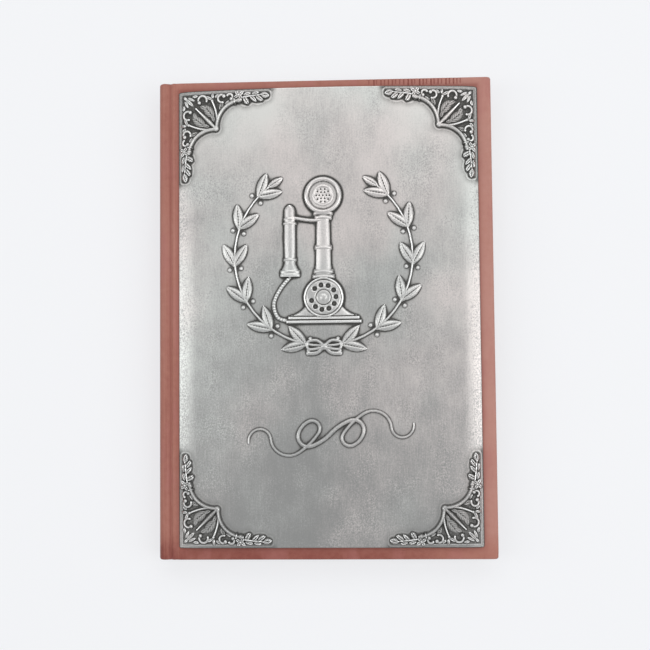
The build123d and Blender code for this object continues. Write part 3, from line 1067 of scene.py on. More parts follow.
@dataclass
class Case:
    """Spine and covers in leather cloth, with the pressed joints between them."""

    leather: Material
    endpaper: Material
    edge_round: float = 0.95
    inner_round: float = 0.35
    inner_steps: int = 3
    corner_round: float = 1.5
    cover_columns: tuple[int, ...] = (6, 30, 170, 8, 6)
    cover_rows: tuple[int, ...] = (6, 56, 16, 6)
    fine_rows: float = 6.0
    spine_wall: float = 2.3
    spine_end_round: float = 0.8
    spine_end_steps: int = 4
    spine_steps: int = 9
    groove_out: float = 2.25
    groove_up: float = 2.0
    joint_thickness: float = 0.4
    joint_rows: int = 40
    joint_steps: int = 5
    fold_width: float = 0.1
    fold_lift: Point = (0.02, 0.12)
    fold_cuts: int = 20
    wrinkle_from: float = 20.0
    wrinkle_to: float = 63.5
    wrinkle_pitch: float = 1.72
    wrinkle_width: float = 0.3
    wrinkle_depth: float = 0.26
    wrinkle_shade: float = 1.2
    margin_head: float = 3.2
    # painted shadow on the cloth round the plate: how far it reaches and how dark it is
    plate_shadow_width: float = 1.4
    plate_shadow_strength: float = 0.6

    def __post_init__(self) -> None:
        """Take the case's measures from the frame."""
        self.spine = span("spine_cloth")
        self.hinge_x = span("front_joint_cloth").low.x
        self.front_z = span("front_pastedown").low.z
        self.back_z = span("back_pastedown").high.z
        self.shoulder = self.spine.high.z - self.front_z
        front = Side("front", span("front_cloth"), self.front_z, 1.0)
        self.sides = (front, Side("back", span("back_cloth"), self.back_z, -1.0))

    def cover(self, side: Side) -> None:
        """Model the cloth of one cover, which its board sits in.

        Args:
            side: The cover.
        """
        low, high = side.cloth.low, side.cloth.high
        panel = Panel(low.x, high.x, low.y, high.y, self.corner_round)
        soft = self.edge_round
        places = (low.x, low.x + soft, self.wrinkle_from, self.wrinkle_to, high.x - soft, high.x)
        rows = (low.y, low.y + soft, high.y - self.fine_rows, high.y - soft, high.y)
        sheet = Sheet(stretched(places, self.cover_columns), stretched(rows, self.cover_rows))
        top = (high.z if side.outer > 0 else -low.z) - rounded_fall(panel.inset(sheet.x, sheet.y), soft)
        under = float(top.max()) - side.cloth.size.z
        pressed = np.zeros_like(top)
        if side.outer > 0:
            crease = self.wrinkles(sheet.x, sheet.y, high.y)
            top = top - crease * self.wrinkle_depth
            # painted shade in the creases and painted shadow round the plate
            pressed = np.maximum(crease * self.wrinkle_shade, self.plate_shadow(sheet.x, sheet.y))
        sheet.move(*panel.shaped(sheet.x, sheet.y), top)
        sheet.mark("pressed", pressed)
        bm = sheet.close(under)
        lower = [
            edge
            for edge in bm.edges
            if all(abs(vert.co.z - under) < 1e-4 for vert in edge.verts)
            and any(abs(face.normal.z) < 0.5 for face in edge.link_faces)
        ]
        bevel(bm, lower, self.inner_round, self.inner_steps)
        if side.outer < 0:
            bmesh.ops.scale(bm, vec=(1, 1, -1), verts=bm.verts)
        bmesh.ops.recalc_face_normals(bm, faces=bm.faces)
        names = (f"{side.name}_cover_leather", f"{side.name}_cloth")
        add_piece(names[0], bm, [self.leather], names[1], side.body)

    def wrinkles(self, x: Grid, y: Grid, head: float) -> Grid:
        """Crease the cloth where it is drawn over the head edge, each crease a little different.

        Args:
            x: Places across the cover.
            y: Places along it.
            head: The head edge's place.

        Returns:
            How deep each place lies in a crease, from 0 to 1.
        """
        slot = (x - self.wrinkle_from) / self.wrinkle_pitch
        number = np.floor(slot)
        jitter = scatter(number)
        off = (slot - number - 0.5 - (jitter - 0.5) * 0.4) * self.wrinkle_pitch
        inside = (x > self.wrinkle_from) & (x < self.wrinkle_to)
        reach = self.margin_head * (0.75 + 0.3 * jitter)
        fade = unit((y - head + reach + 0.8) / 0.8)
        return halo(off / self.wrinkle_width) * fade * inside * (0.6 + 0.4 * jitter)

    def plate_shadow(self, x: Grid, y: Grid) -> Grid:
        """Painted shadow on the cloth close round the plate's edge.

        Args:
            x: Places across the cover.
            y: Places along it.

        Returns:
            The painted shadow's darkness, 0 far from the plate.
        """
        plate = span("pewter_plate")
        away = -Panel(plate.low.x, plate.high.x, plate.low.y, plate.high.y).inset(x, y)
        return np.exp(-np.clip(away, 0.0, None) / self.plate_shadow_width) * self.plate_shadow_strength

    def quarter_turn(self, bm: BMesh, geom: Sequence[BMVert], height: float) -> list[BMVert]:
        """Spin a point of the spine's profile round one shoulder and return where it ends.

        Args:
            bm: The spine's mesh.
            geom: The vertices that turn.
            height: Height of the shoulder's middle.

        Returns:
            The vertices where they end.
        """
        options = {"angle": math.pi / 2, "steps": self.spine_steps, "use_merge": False}
        centre = (self.hinge_x, self.spine.low.y, height)
        made = bmesh.ops.spin(bm, geom=geom, cent=centre, axis=(0, -1, 0), **options)
        return new_verts(made["geom_last"])

    def spine_piece(self) -> None:
        """Model the spine: a flat back between two rounded shoulders."""
        bm = bmesh.new()
        head, tail = self.spine.high.y, self.spine.low.y
        top = bm.verts.new((self.hinge_x, tail, self.front_z + self.shoulder))
        side = self.quarter_turn(bm, [top], self.front_z)
        drop = bmesh.ops.extrude_vert_indiv(bm, verts=side)["verts"]
        bmesh.ops.translate(bm, verts=drop, vec=(0, 0, self.back_z - self.front_z))
        self.quarter_turn(bm, drop, self.back_z)
        far = new_verts(bmesh.ops.extrude_edge_only(bm, edges=bm.edges[:])["geom"])
        bmesh.ops.translate(bm, verts=far, vec=(0, head - tail, 0))
        face_towards(bm, (-1, 0, 0))
        bmesh.ops.solidify(bm, geom=bm.faces[:], thickness=self.spine_wall)
        ends = [
            edge
            for edge in bm.edges
            if all(abs(abs(vert.co.y) - head) < 1e-3 and self.is_outer(vert) for vert in edge.verts)
            and any(face.normal.y ** 2 < 0.5 for face in edge.link_faces)
        ]
        bevel(bm, ends, self.spine_end_round, self.spine_end_steps)
        bmesh.ops.recalc_face_normals(bm, faces=bm.faces)
        bm.verts.layers.float.new("pressed")
        add_piece("spine_leather", bm, [self.leather], "spine_cloth", "book_block")

    def is_outer(self, vert: BMVert) -> bool:
        """Whether a vertex lies on the outside of the spine's wrap."""
        middle = min(max(vert.co.z, self.back_z), self.front_z)
        return math.hypot(vert.co.x - self.hinge_x, vert.co.z - middle) >= self.shoulder - 0.05

    def joint(self, side: Side) -> None:
        """Model the cloth of one joint, pressed into a groove.

        Args:
            side: The cover that hangs on it.
        """
        cloth, outer, hinge_z, soft = side.cloth, side.outer, side.hinge_z, self.edge_round
        reach = cloth.low.x - self.hinge_x
        crown = (cloth.high.z - hinge_z if outer > 0 else hinge_z - cloth.low.z) + 0.02
        profile = (
            (0.0, self.shoulder),
            (0.8, self.shoulder - 0.1),
            (1.6, self.groove_up + 0.3),
            (self.groove_out, self.groove_up),
            (reach - 0.05, self.groove_up + 0.42),
            (reach + 0.3, crown - 0.24),
            (reach + 0.85, crown - 0.02),
            (reach + 1.5, crown),
        )
        steps = self.joint_steps
        line = smooth_path(profile, steps)
        places = (cloth.low.y, cloth.low.y + soft, cloth.high.y - soft, cloth.high.y)
        sheet = Sheet(line[:, 0], stretched(places, (steps, self.joint_rows, steps)))
        lift = np.broadcast_to(line[:, 1], sheet.x.shape)
        lift = lift - rounded_fall(cloth.high.y - np.abs(sheet.y), soft)
        depth = unit((self.shoulder - lift) / (self.shoulder - self.groove_up)) * (sheet.x < reach + 0.6)
        # painted shade deepening into the groove
        sheet.mark("pressed", depth**2 * 0.5)
        sheet.move(sheet.x + self.hinge_x, sheet.y, lift * outer + hinge_z)
        face_towards(sheet.bm, (0, 0, outer))
        bmesh.ops.solidify(sheet.bm, geom=sheet.bm.faces[:], thickness=self.joint_thickness)
        names = (f"{side.name}_joint_leather", f"{side.name}_joint_cloth")
        piece = add_piece(names[0], sheet.bm, [self.leather], names[1])
        start, end = ((x * MM, 0.0, hinge_z * MM) for x in (self.hinge_x, cloth.low.x))
        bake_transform(piece)

    def endpaper_hinge(self, side: Side) -> None:
        """Model the endpaper's fold over one joint.

        Args:
            side: The cover that hangs on the joint.
        """
        tall = span("front_pastedown")
        up = sorted(side.hinge_z + side.outer * lift for lift in self.fold_lift)
        across = (side.cloth.low.x - self.fold_width, side.cloth.low.x)
        box = (across, (tall.low.y, tall.high.y), tuple(up))
        finish, bend = (self.endpaper, Slot.ENDPAPER), (side.body, side.hinge_z)
        paper_hinge(f"{side.name}_endpaper_hinge", box, self.fold_cuts, finish, bend)

    def build(self) -> None:
        """Model every piece of the case."""
        for side in self.sides:
            self.cover(side)
        self.spine_piece()
        for side in self.sides:
            self.joint(side)
            self.endpaper_hinge(side)


# ---- the plate ------------------------------------------------------------------------------------
@dataclass(frozen=True)
class CornerOutline:
    """The castings' leafy outline, measured from its square corner and alike on both arms.

    The lobes are points and crests by turns, given back from the arm's end and over its edge.
    """

    arm: float = 40.6
    margin: float = 1.2
    cusp: float = 17.5
    nose: float = 1.5
    lobes: tuple[Point, ...] = (
        (2.0, 0.0),
        (0.0, 1.7),
        (2.4, 3.4),
        (5.0, 4.9),
        (8.0, 4.0),
        (10.2, 5.6),
        (13.0, 4.6),
    )
    hollow: Point = (2.0, -8.6)

    @staticmethod
    def through(start: Point, crest: Point, end: Point) -> Grid:
        """Sample the arc through three points.

        Args:
            start: Where it starts.
            crest: A point on its way.
            end: Where it ends.

        Returns:
            Its points.
        """
        a, b, c = (complex(*point) for point in (start, crest, end))
        ratio = (c - a) / (b - a)
        middle = a - (a - b) * (ratio - abs(ratio) ** 2) / 2j / ratio.imag
        turn, passing = (cmath.phase((point - middle) / (a - middle)) for point in (c, b))
        if turn * passing < 0:
            turn -= math.copysign(2 * math.pi, turn)
        first = math.degrees(cmath.phase(a - middle))
        return arc_path((middle.real, middle.imag), abs(a - middle), first, math.degrees(turn))

    def hollow_edge(self) -> Grid:
        """The hollow edge from one arm to the rounded nose on the diagonal.

        Returns:
            Its points, from the arm's end to the nose.
        """
        start = (self.arm - self.lobes[-1][0], self.lobes[-1][1])
        bend = (self.cusp + self.hollow[0], self.cusp + self.hollow[1])
        arc = self.through(start, bend, (self.cusp, self.cusp))
        middle = self.cusp - self.nose
        return np.vstack([arc[arc[:, 1] < middle - 0.5], arc_path((middle, middle), self.nose, 0.0, 45.0)])

    def closed(self) -> Grid:
        """The whole outline as a closed path.

        Returns:
            Its points.
        """
        lobes = [(self.arm - back, over) for back, over in self.lobes]
        runs = [self.through(*three) for three in zip(lobes[::2], lobes[1::2], lobes[2::2])]
        side = np.vstack([[(0.0, 0.0)], *runs, self.hollow_edge()])
        return np.vstack([side, side[::-1, ::-1]])

    def inside(self, relief: Relief) -> Grid:
        """Distance of a patch's places inside the outline, negative outside.

        Args:
            relief: The patch.

        Returns:
            The distance at every place.
        """
        path = self.closed()
        gap, _ = relief.along(path)
        within = np.zeros(relief.x.shape, bool)
        for (ax, ay), (bx, by) in zip(path, np.roll(path, -1, axis=0)):
            if ay != by:
                level = (relief.y < ay) != (relief.y < by)
                within ^= level & (relief.x < (bx - ax) * (relief.y - ay) / (by - ay) + ax)
        return np.where(within, gap, -gap)


@dataclass(frozen=True)
class Patch:
    """A rectangle of the plate that carries an embossed picture, and its grid's pitch."""

    name: str
    size: Point
    middle: Point
    pitch: float

    @property
    def panel(self) -> Panel:
        """Its outline on the plate."""
        (x, y), (wide, tall) = self.middle, self.size
        return Panel(x - wide / 2, x + wide / 2, y - tall / 2, y + tall / 2)


@dataclass
class PewterPlate:
    """The plate's sheet metal, rolled down at both sides, with its two embossed pictures."""

    pewter: Material
    shape: CornerOutline
    figure: Patch = Patch("plate_figure", (92.0, 92.0), (-0.7, 27.0), 0.3)
    flourish: Patch = Patch("plate_flourish", (84.0, 24.0), (2.0, -52.0), 0.25)
    rise: float = 1.9
    lip: float = 0.6
    roll: float = 8.0
    corner: float = 1.0
    edge_round: float = 0.35
    rim: float = 0.9
    side_straight: float = 205.8
    smudge: float = 0.45
    rim_smudge: float = 0.3
    smudge_width: float = 3.4
    shadow_reach: float = 5.0
    # painted highlight along the rolled sides
    side_highlight: float = 0.14
    column_pitch: float = 1.1
    row_pitch: float = 1.2
    crease: float = 40.0

    def __post_init__(self) -> None:
        """Take the plate's place from the frame."""
        box = span("pewter_plate")
        self.left, self.right, self.tail = box.low.x, box.high.x, box.low.y
        self.middle, self.half = (self.left + self.right) / 2, (self.right - self.left) / 2
        self.head = self.tail + self.side_straight
        self.bow = box.high.y - self.head
        self.cover_top = span("front_cloth").high.z
        self.top = self.cover_top + self.rise
        self.panel = Panel(self.left, self.right, self.tail, self.head, self.corner)

    def height(self, x: Grid) -> Grid:
        """The plate's upper face across its width, rolled down towards both sides.

        Args:
            x: Places across the plate.

        Returns:
            The height at each place.
        """
        drop = self.rise - self.lip
        radius = (self.roll**2 + drop**2) / (2 * drop)
        run = np.clip(np.abs(x - self.middle) - (self.half - self.roll), 0.0, self.roll)
        return self.top - radius + np.sqrt(radius**2 - run**2)

    def outlined(self, x: Grid, y: Grid) -> tuple[Grid, Grid]:
        """Round the corners and bow the head edge of places given on a plain rectangle.

        Args:
            x: Places across.
            y: Places along.

        Returns:
            Both, on the plate's own outline.
        """
        x, y = self.panel.shaped(x, y)
        share = unit((y - self.tail) / (self.head - self.tail))
        arch = self.bow * (1.0 - ((x - self.middle) / self.half) ** 2)
        return x, y + arch * np.clip(share - 0.9, 0.0, 0.1) * 10.0

    @staticmethod
    def lines(places: Iterable[float], pitch: float) -> Grid:
        """Grid lines through some places, about a pitch apart where those are far apart.

        Args:
            places: Where lines must lie.
            pitch: The wanted distance.

        Returns:
            The lines' places.
        """
        ends = sorted(set(places))
        counts = [max(2, round((b - a) / pitch)) if b - a > 1 else 5 for a, b in zip(ends, ends[1:])]
        return stretched(ends, counts)

    def sheet_metal(self) -> None:
        """Model the plate round its pictures, with two openings where those fit."""
        holes = [self.figure.panel, self.flourish.panel]
        across, along = [self.left, self.right], [self.tail, self.head]
        for inward in (self.rim, self.roll):
            across += [self.left + inward, self.right - inward]
        along += [self.tail + self.rim, self.head - self.rim]
        for hole in holes:
            across += [hole.left, hole.right]
            along += [hole.tail, hole.head]
        sheet = Sheet(self.lines(across, self.column_pitch), self.lines(along, self.row_pitch))
        x, y = self.outlined(sheet.x, sheet.y)
        fall = rounded_fall(self.panel.inset(sheet.x, sheet.y), self.edge_round)
        sheet.move(x, y, self.height(x) - fall)
        smudges = self.smudges(sheet.x, sheet.y)
        sheet.mark("hollow", smudges)
        beside = np.minimum(sheet.x - self.left, self.right - sheet.x)
        # painted highlight along both rolled sides, weaker where smudged
        painted_light = self.side_highlight * (1.0 - smudges / (self.smudge + self.rim_smudge))
        sheet.mark("ridge", unit(1.4 - beside / 3.5) * painted_light)
        for hole in holes:
            sheet.drop(hole.inset(sheet.x, sheet.y) > -TINY)
        bm = sheet.bm
        for vert in new_verts(bmesh.ops.extrude_face_region(bm, geom=bm.faces[:])["geom"]):
            vert.co.z = self.cover_top
        bmesh.ops.recalc_face_normals(bm, faces=bm.faces)
        names = ("plate_sheet", "pewter_plate")
        add_piece(names[0], bm, [self.pewter], names[1], "front_cover", self.crease)

    def smudges(self, x: Grid, y: Grid) -> Grid:
        """The patina left on the sheet close round the four castings.

        Args:
            x: Places across the plate.
            y: Places along it.

        Returns:
            How dark each place is.
        """
        gap = np.full(x.shape, np.inf)
        margin = self.shape.margin
        for along, edge_y in ((1, self.tail), (-1, self.head)):
            for across, edge_x in ((1, self.left), (-1, self.right)):
                near = Relief(across * (x - edge_x) - margin, along * (y - edge_y) - margin)
                gap = np.minimum(gap, np.clip(-self.shape.inside(near), 0.0, None))
        rim = unit(1.7 - self.panel.inset(x, y))
        return halo(gap / self.smudge_width) * (self.smudge + rim * self.rim_smudge)

    def emboss(self, patch: Patch, draw: Callable[[Relief], None]) -> None:
        """Model one picture's rectangle of the plate.

        Args:
            patch: Where it is.
            draw: What raises the relief, in places measured from the patch's middle.
        """
        panel, pitch = patch.panel, patch.pitch
        columns, rows = (round(length / pitch) + 1 for length in patch.size)
        sheet = Sheet(
            np.linspace(panel.left, panel.right, columns), np.linspace(panel.tail, panel.head, rows)
        )
        relief = Relief(sheet.x - patch.middle[0], sheet.y - patch.middle[1])
        draw(relief)
        hollow, ridge = relief.tones(pitch)
        raised = unit(relief.height * 3.0)
        work = blurred(raised, round(self.shadow_reach / pitch)) * (1.0 - 0.8 * raised)
        work = unit(work * 1.6) * unit(panel.inset(sheet.x, sheet.y) / self.shadow_reach)
        sheet.mark("hollow", unit(hollow + work * self.smudge))
        # ridges, and raised work lighter by its height: polish with a painted highlight
        sheet.mark("ridge", np.maximum(ridge, unit(relief.height / 0.8) * 0.3))
        sheet.move(sheet.x, sheet.y, self.top + relief.height)
        bm = sheet.close(self.cover_top)
        names = (patch.name, "pewter_plate")
        add_piece(names[0], bm, [self.pewter], names[1], "front_cover", RELIEF_CREASE)

    def build(self) -> None:
        """Model the plate and its two pictures."""
        self.sheet_metal()
        self.emboss(self.figure, Figure().draw)
        self.emboss(self.flourish, Flourish().draw)


@dataclass
class Figure:
    """A candlestick telephone in an open laurel wreath, measured from the picture's middle."""

    wreath_radius: float = 40.0
    wreath_opening: float = 34.0
    leaf_pairs: int = 6
    leaf_size: Point = (12.0, 4.6)
    end_leaf: Point = (8.5, 3.4)
    leaf_splay: float = 30.0
    leaf_stand: float = 2.5
    leaf_rise: float = 1.0
    berry_radius: float = 0.95
    berry_stand: float = 2.6
    foot_low: float = -30.0
    foot_half_width: float = 17.0
    foot_rim: float = 3.2
    neck_half_width: float = 3.6
    stem_low: float = -9.0
    stem_top: float = 20.0
    stem_rings: tuple[Point, ...] = ((0.0, 5.0), (2.2, 4.4), (13.0, 3.9), (26.6, 4.0), (28.6, 4.4))
    hook: tuple[Point, ...] = ((0, 16.4), (-7, 16.6), (-15.0, 18.0))
    dial_height: float = -18.4
    dial_radius: float = 9.0
    dial_rim: float = 1.1
    dial_card: float = 3.4
    finger_holes: int = 10
    first_hole: float = 135
    hole_sweep: float = 300
    hole_circle: float = 5.55
    hole_radius: float = 1.25
    mouth_height: float = 27.6
    mouth_radius: float = 8.4
    mouth_holes: tuple[tuple[float, int], ...] = ((0.0, 1), (1.6, 6), (2.9, 10))
    receiver_offset: float = 15.0
    receiver_top: float = 21.0
    receiver_foot: float = -9.0
    receiver_rings: tuple[Point, ...] = ((0.8, 4.6), (2.3, 4.4), (7.6, 2.9), (24.0, 3.0), (26.0, 2.8))
    cord_bends: tuple[Point, ...] = ((-19.5, -14.5), (-22.4, -21.0), (-20.8, -27.0), (-17.0, -28.6))
    cord_turns: int = 20

    def draw(self, relief: Relief) -> None:
        """Raise the whole picture; later parts cut into earlier ones.

        Args:
            relief: The picture's relief.
        """
        self.wreath(relief)
        self.cord(relief)
        self.foot(relief)
        self.stem(relief)
        self.dial(relief)
        self.transmitter(relief)
        self.receiver(relief)

    def wreath(self, relief: Relief) -> None:
        """Raise two sprays of laurel that cross at the bottom under a ribbon.

        Args:
            relief: The picture's relief.
        """
        reach = 180 - self.wreath_opening
        step = reach / self.leaf_pairs
        for side in (-1, 1):
            twig = arc_path((0, 0), self.wreath_radius, -90 - side * 6, side * (reach + 2))
            relief.cord(twig, 1.3, 0.75, 0.6)
            for k in range(self.leaf_pairs):
                angle = -90 + side * (k + 0.75) * step
                for spread in (-1, 1):
                    stalk = polar((0, 0), self.wreath_radius + spread * self.leaf_stand, angle)
                    tip = angle + side * (90 - spread * self.leaf_splay)
                    relief.leaf(stalk, tip, self.leaf_size, self.leaf_rise)
                    berry_stand = self.wreath_radius + spread * self.berry_stand
                    berry = polar((0, 0), berry_stand, angle - side * step * 0.36)
                    relief.bead(berry, self.berry_radius, 0.85)
            end = -90 + side * (reach + 1.5)
            tip = polar((0, 0), self.wreath_radius, end)
            relief.leaf(tip, end + side * 90, self.end_leaf, self.leaf_rise)
            loop = ((0, -40), (side * 3.4, -37.6), (side * 7.4, -38.4), (side * 6.6, -41.6), (0, -40.6))
            relief.cord(smooth_path(loop), 1.5, 1.05)
            tail = ((0, -40), (side * 3.0, -43.0), (side * 7.2, -43.4))
            relief.cord(smooth_path(tail), 1.6, 0.95, 1.3)
        relief.bead((0, -40.3), 1.7, 1.45)

    def foot(self, relief: Relief) -> None:
        """Raise the bell-shaped foot on its stepped rim.

        Args:
            relief: The picture's relief.
        """
        neck, wide = self.neck_half_width, self.foot_half_width

        def bell(share: Grid) -> Grid:
            """Half width from the rim up to the neck."""
            return wide - (wide - neck) * quarter_round(share)

        relief.turned(0.0, self.foot_low + self.foot_rim, self.stem_low, bell, 1.2)
        for low, high, half in ((0.0, 1.5, wide), (1.7, self.foot_rim, wide - 0.9)):
            off = relief.y - self.foot_low - (low + high) / 2
            bar = unit(1.0 - np.abs(off / (high - low) * 2) ** 3)
            relief.swell(bar * unit((half - np.abs(relief.x)) / 0.4), 1.45)

    def stem(self, relief: Relief) -> None:
        """Raise the tapered stem with its ring mouldings and the hook for the receiver.

        Args:
            relief: The picture's relief.
        """

        def taper(share: Grid) -> Grid:
            """Half width, narrowing a little to the top."""
            return self.neck_half_width * (1.0 - 0.25 * share)

        relief.turned(0.0, self.stem_low, self.stem_top, taper, 1.45)
        for height, half in self.stem_rings:
            relief.ring(0.0, self.stem_low + height, half, 1.05, 1.75)
        relief.cord(smooth_path(self.hook), 1.7, 1.5)

    def dial(self, relief: Relief) -> None:
        """Raise the dial with its finger holes and hub.

        Args:
            relief: The picture's relief.
        """
        centre = (0.0, self.dial_height)
        gap = relief.disc(centre, self.dial_radius, 1.75)
        relief.cut(halo((gap - self.dial_radius + self.dial_rim) / 0.28) * 0.45)
        relief.cut(halo((gap - self.dial_card) / 0.26) * 0.4)
        for k in range(self.finger_holes):
            angle = self.first_hole - k * self.hole_sweep / (self.finger_holes - 1)
            hole = polar(centre, self.hole_circle, angle)
            relief.cut(unit((self.hole_radius - relief.gap(hole)) / 0.35) * 0.85)
        relief.bead(centre, 1.5, 2.05, 1.7)

    def transmitter(self, relief: Relief) -> None:
        """Raise the mouthpiece: a dished cup with a rolled lip and a pierced middle.

        Args:
            relief: The picture's relief.
        """
        centre = (0.0, self.mouth_height)
        gap = relief.disc(centre, self.mouth_radius, 1.3)
        relief.swell(dome(gap - self.mouth_radius + 1.0), 2.0, 1.0)
        relief.cut(unit(1.0 - gap / (self.mouth_radius - 2.0)) ** 0.6 * 0.55)
        relief.swell(dome((gap - 4.3) / 0.55), 1.3, 0.75)
        for radius, count in self.mouth_holes:
            for k in range(count):
                relief.cut(halo(relief.gap(polar(centre, radius, 360 * k / count)) / 0.38) * 0.5)

    def receiver(self, relief: Relief) -> None:
        """Raise the hanging receiver: cap, grip, rings and flared earpiece.

        Args:
            relief: The picture's relief.
        """
        axis = -self.receiver_offset

        def outline(share: Grid) -> Grid:
            """Half width from the earpiece's face up to the cap.

            Args:
                share: Shares of its height.

            Returns:
                The half widths.
            """
            flare = 2.0 * (1.0 - (1.0 - unit((share - 0.07) / 0.16)) ** 2)
            swell = 0.25 * np.sin(unit((share - 0.25) / 0.6) * math.pi)
            return 4.3 - flare + swell - 1.6 * unit((share - 0.93) / 0.07) ** 2

        relief.turned(axis, self.receiver_foot, self.receiver_top + 2.3, outline, 1.65)
        for height, half in self.receiver_rings:
            relief.ring(axis, self.receiver_foot + height, half, 0.75, 1.9)

    def cord(self, relief: Relief) -> None:
        """Raise the receiver's twisted cord, swinging down behind the foot.

        Args:
            relief: The picture's relief.
        """
        top = (-self.receiver_offset, self.receiver_foot)
        gap, run = relief.along(smooth_path((top, *self.cord_bends)))
        twist = 0.8 + 0.2 * np.sin(run * 2 * math.pi * self.cord_turns)
        relief.swell(dome(gap / 0.85), twist * 0.95)


@dataclass
class Flourish:
    """A pen flourish that is the same turned half round, broad on its down strokes."""

    slope: float = 4.0
    width: float = 1.9
    rise: float = 0.75
    tip: float = 0.55
    heading: Point = (1.0, 0.9)
    bends: tuple[Point, ...] = (
        (9.0, 5.0),
        (14.5, -1.0),
        (9.5, -6.0),
        (5.5, -0.5),
        (15.0, 7.5),
        (27.0, 0.5),
        (34.5, -3.5),
        (37.0, 1.5),
    )

    def draw(self, relief: Relief) -> None:
        """Raise both halves of the stroke.

        Args:
            relief: The picture's relief.
        """
        for half in (1, -1):
            bends, heading = half * np.array(self.bends), half * np.array(self.heading)
            path = tangent_arcs((0, 0), heading, bends) @ spin(math.radians(self.slope)).T
            relief.cord(path, self.width, self.rise, self.tip)


# ---- cast corners ---------------------------------------------------------------------------------
@dataclass(frozen=True)
class Lobe:
    """A cast leaf: its middle, its tip's direction in degrees, its length and breadth, and its rise."""

    centre: Point
    angle: float
    size: Point
    rise: float
    ribbing: float = 0.13


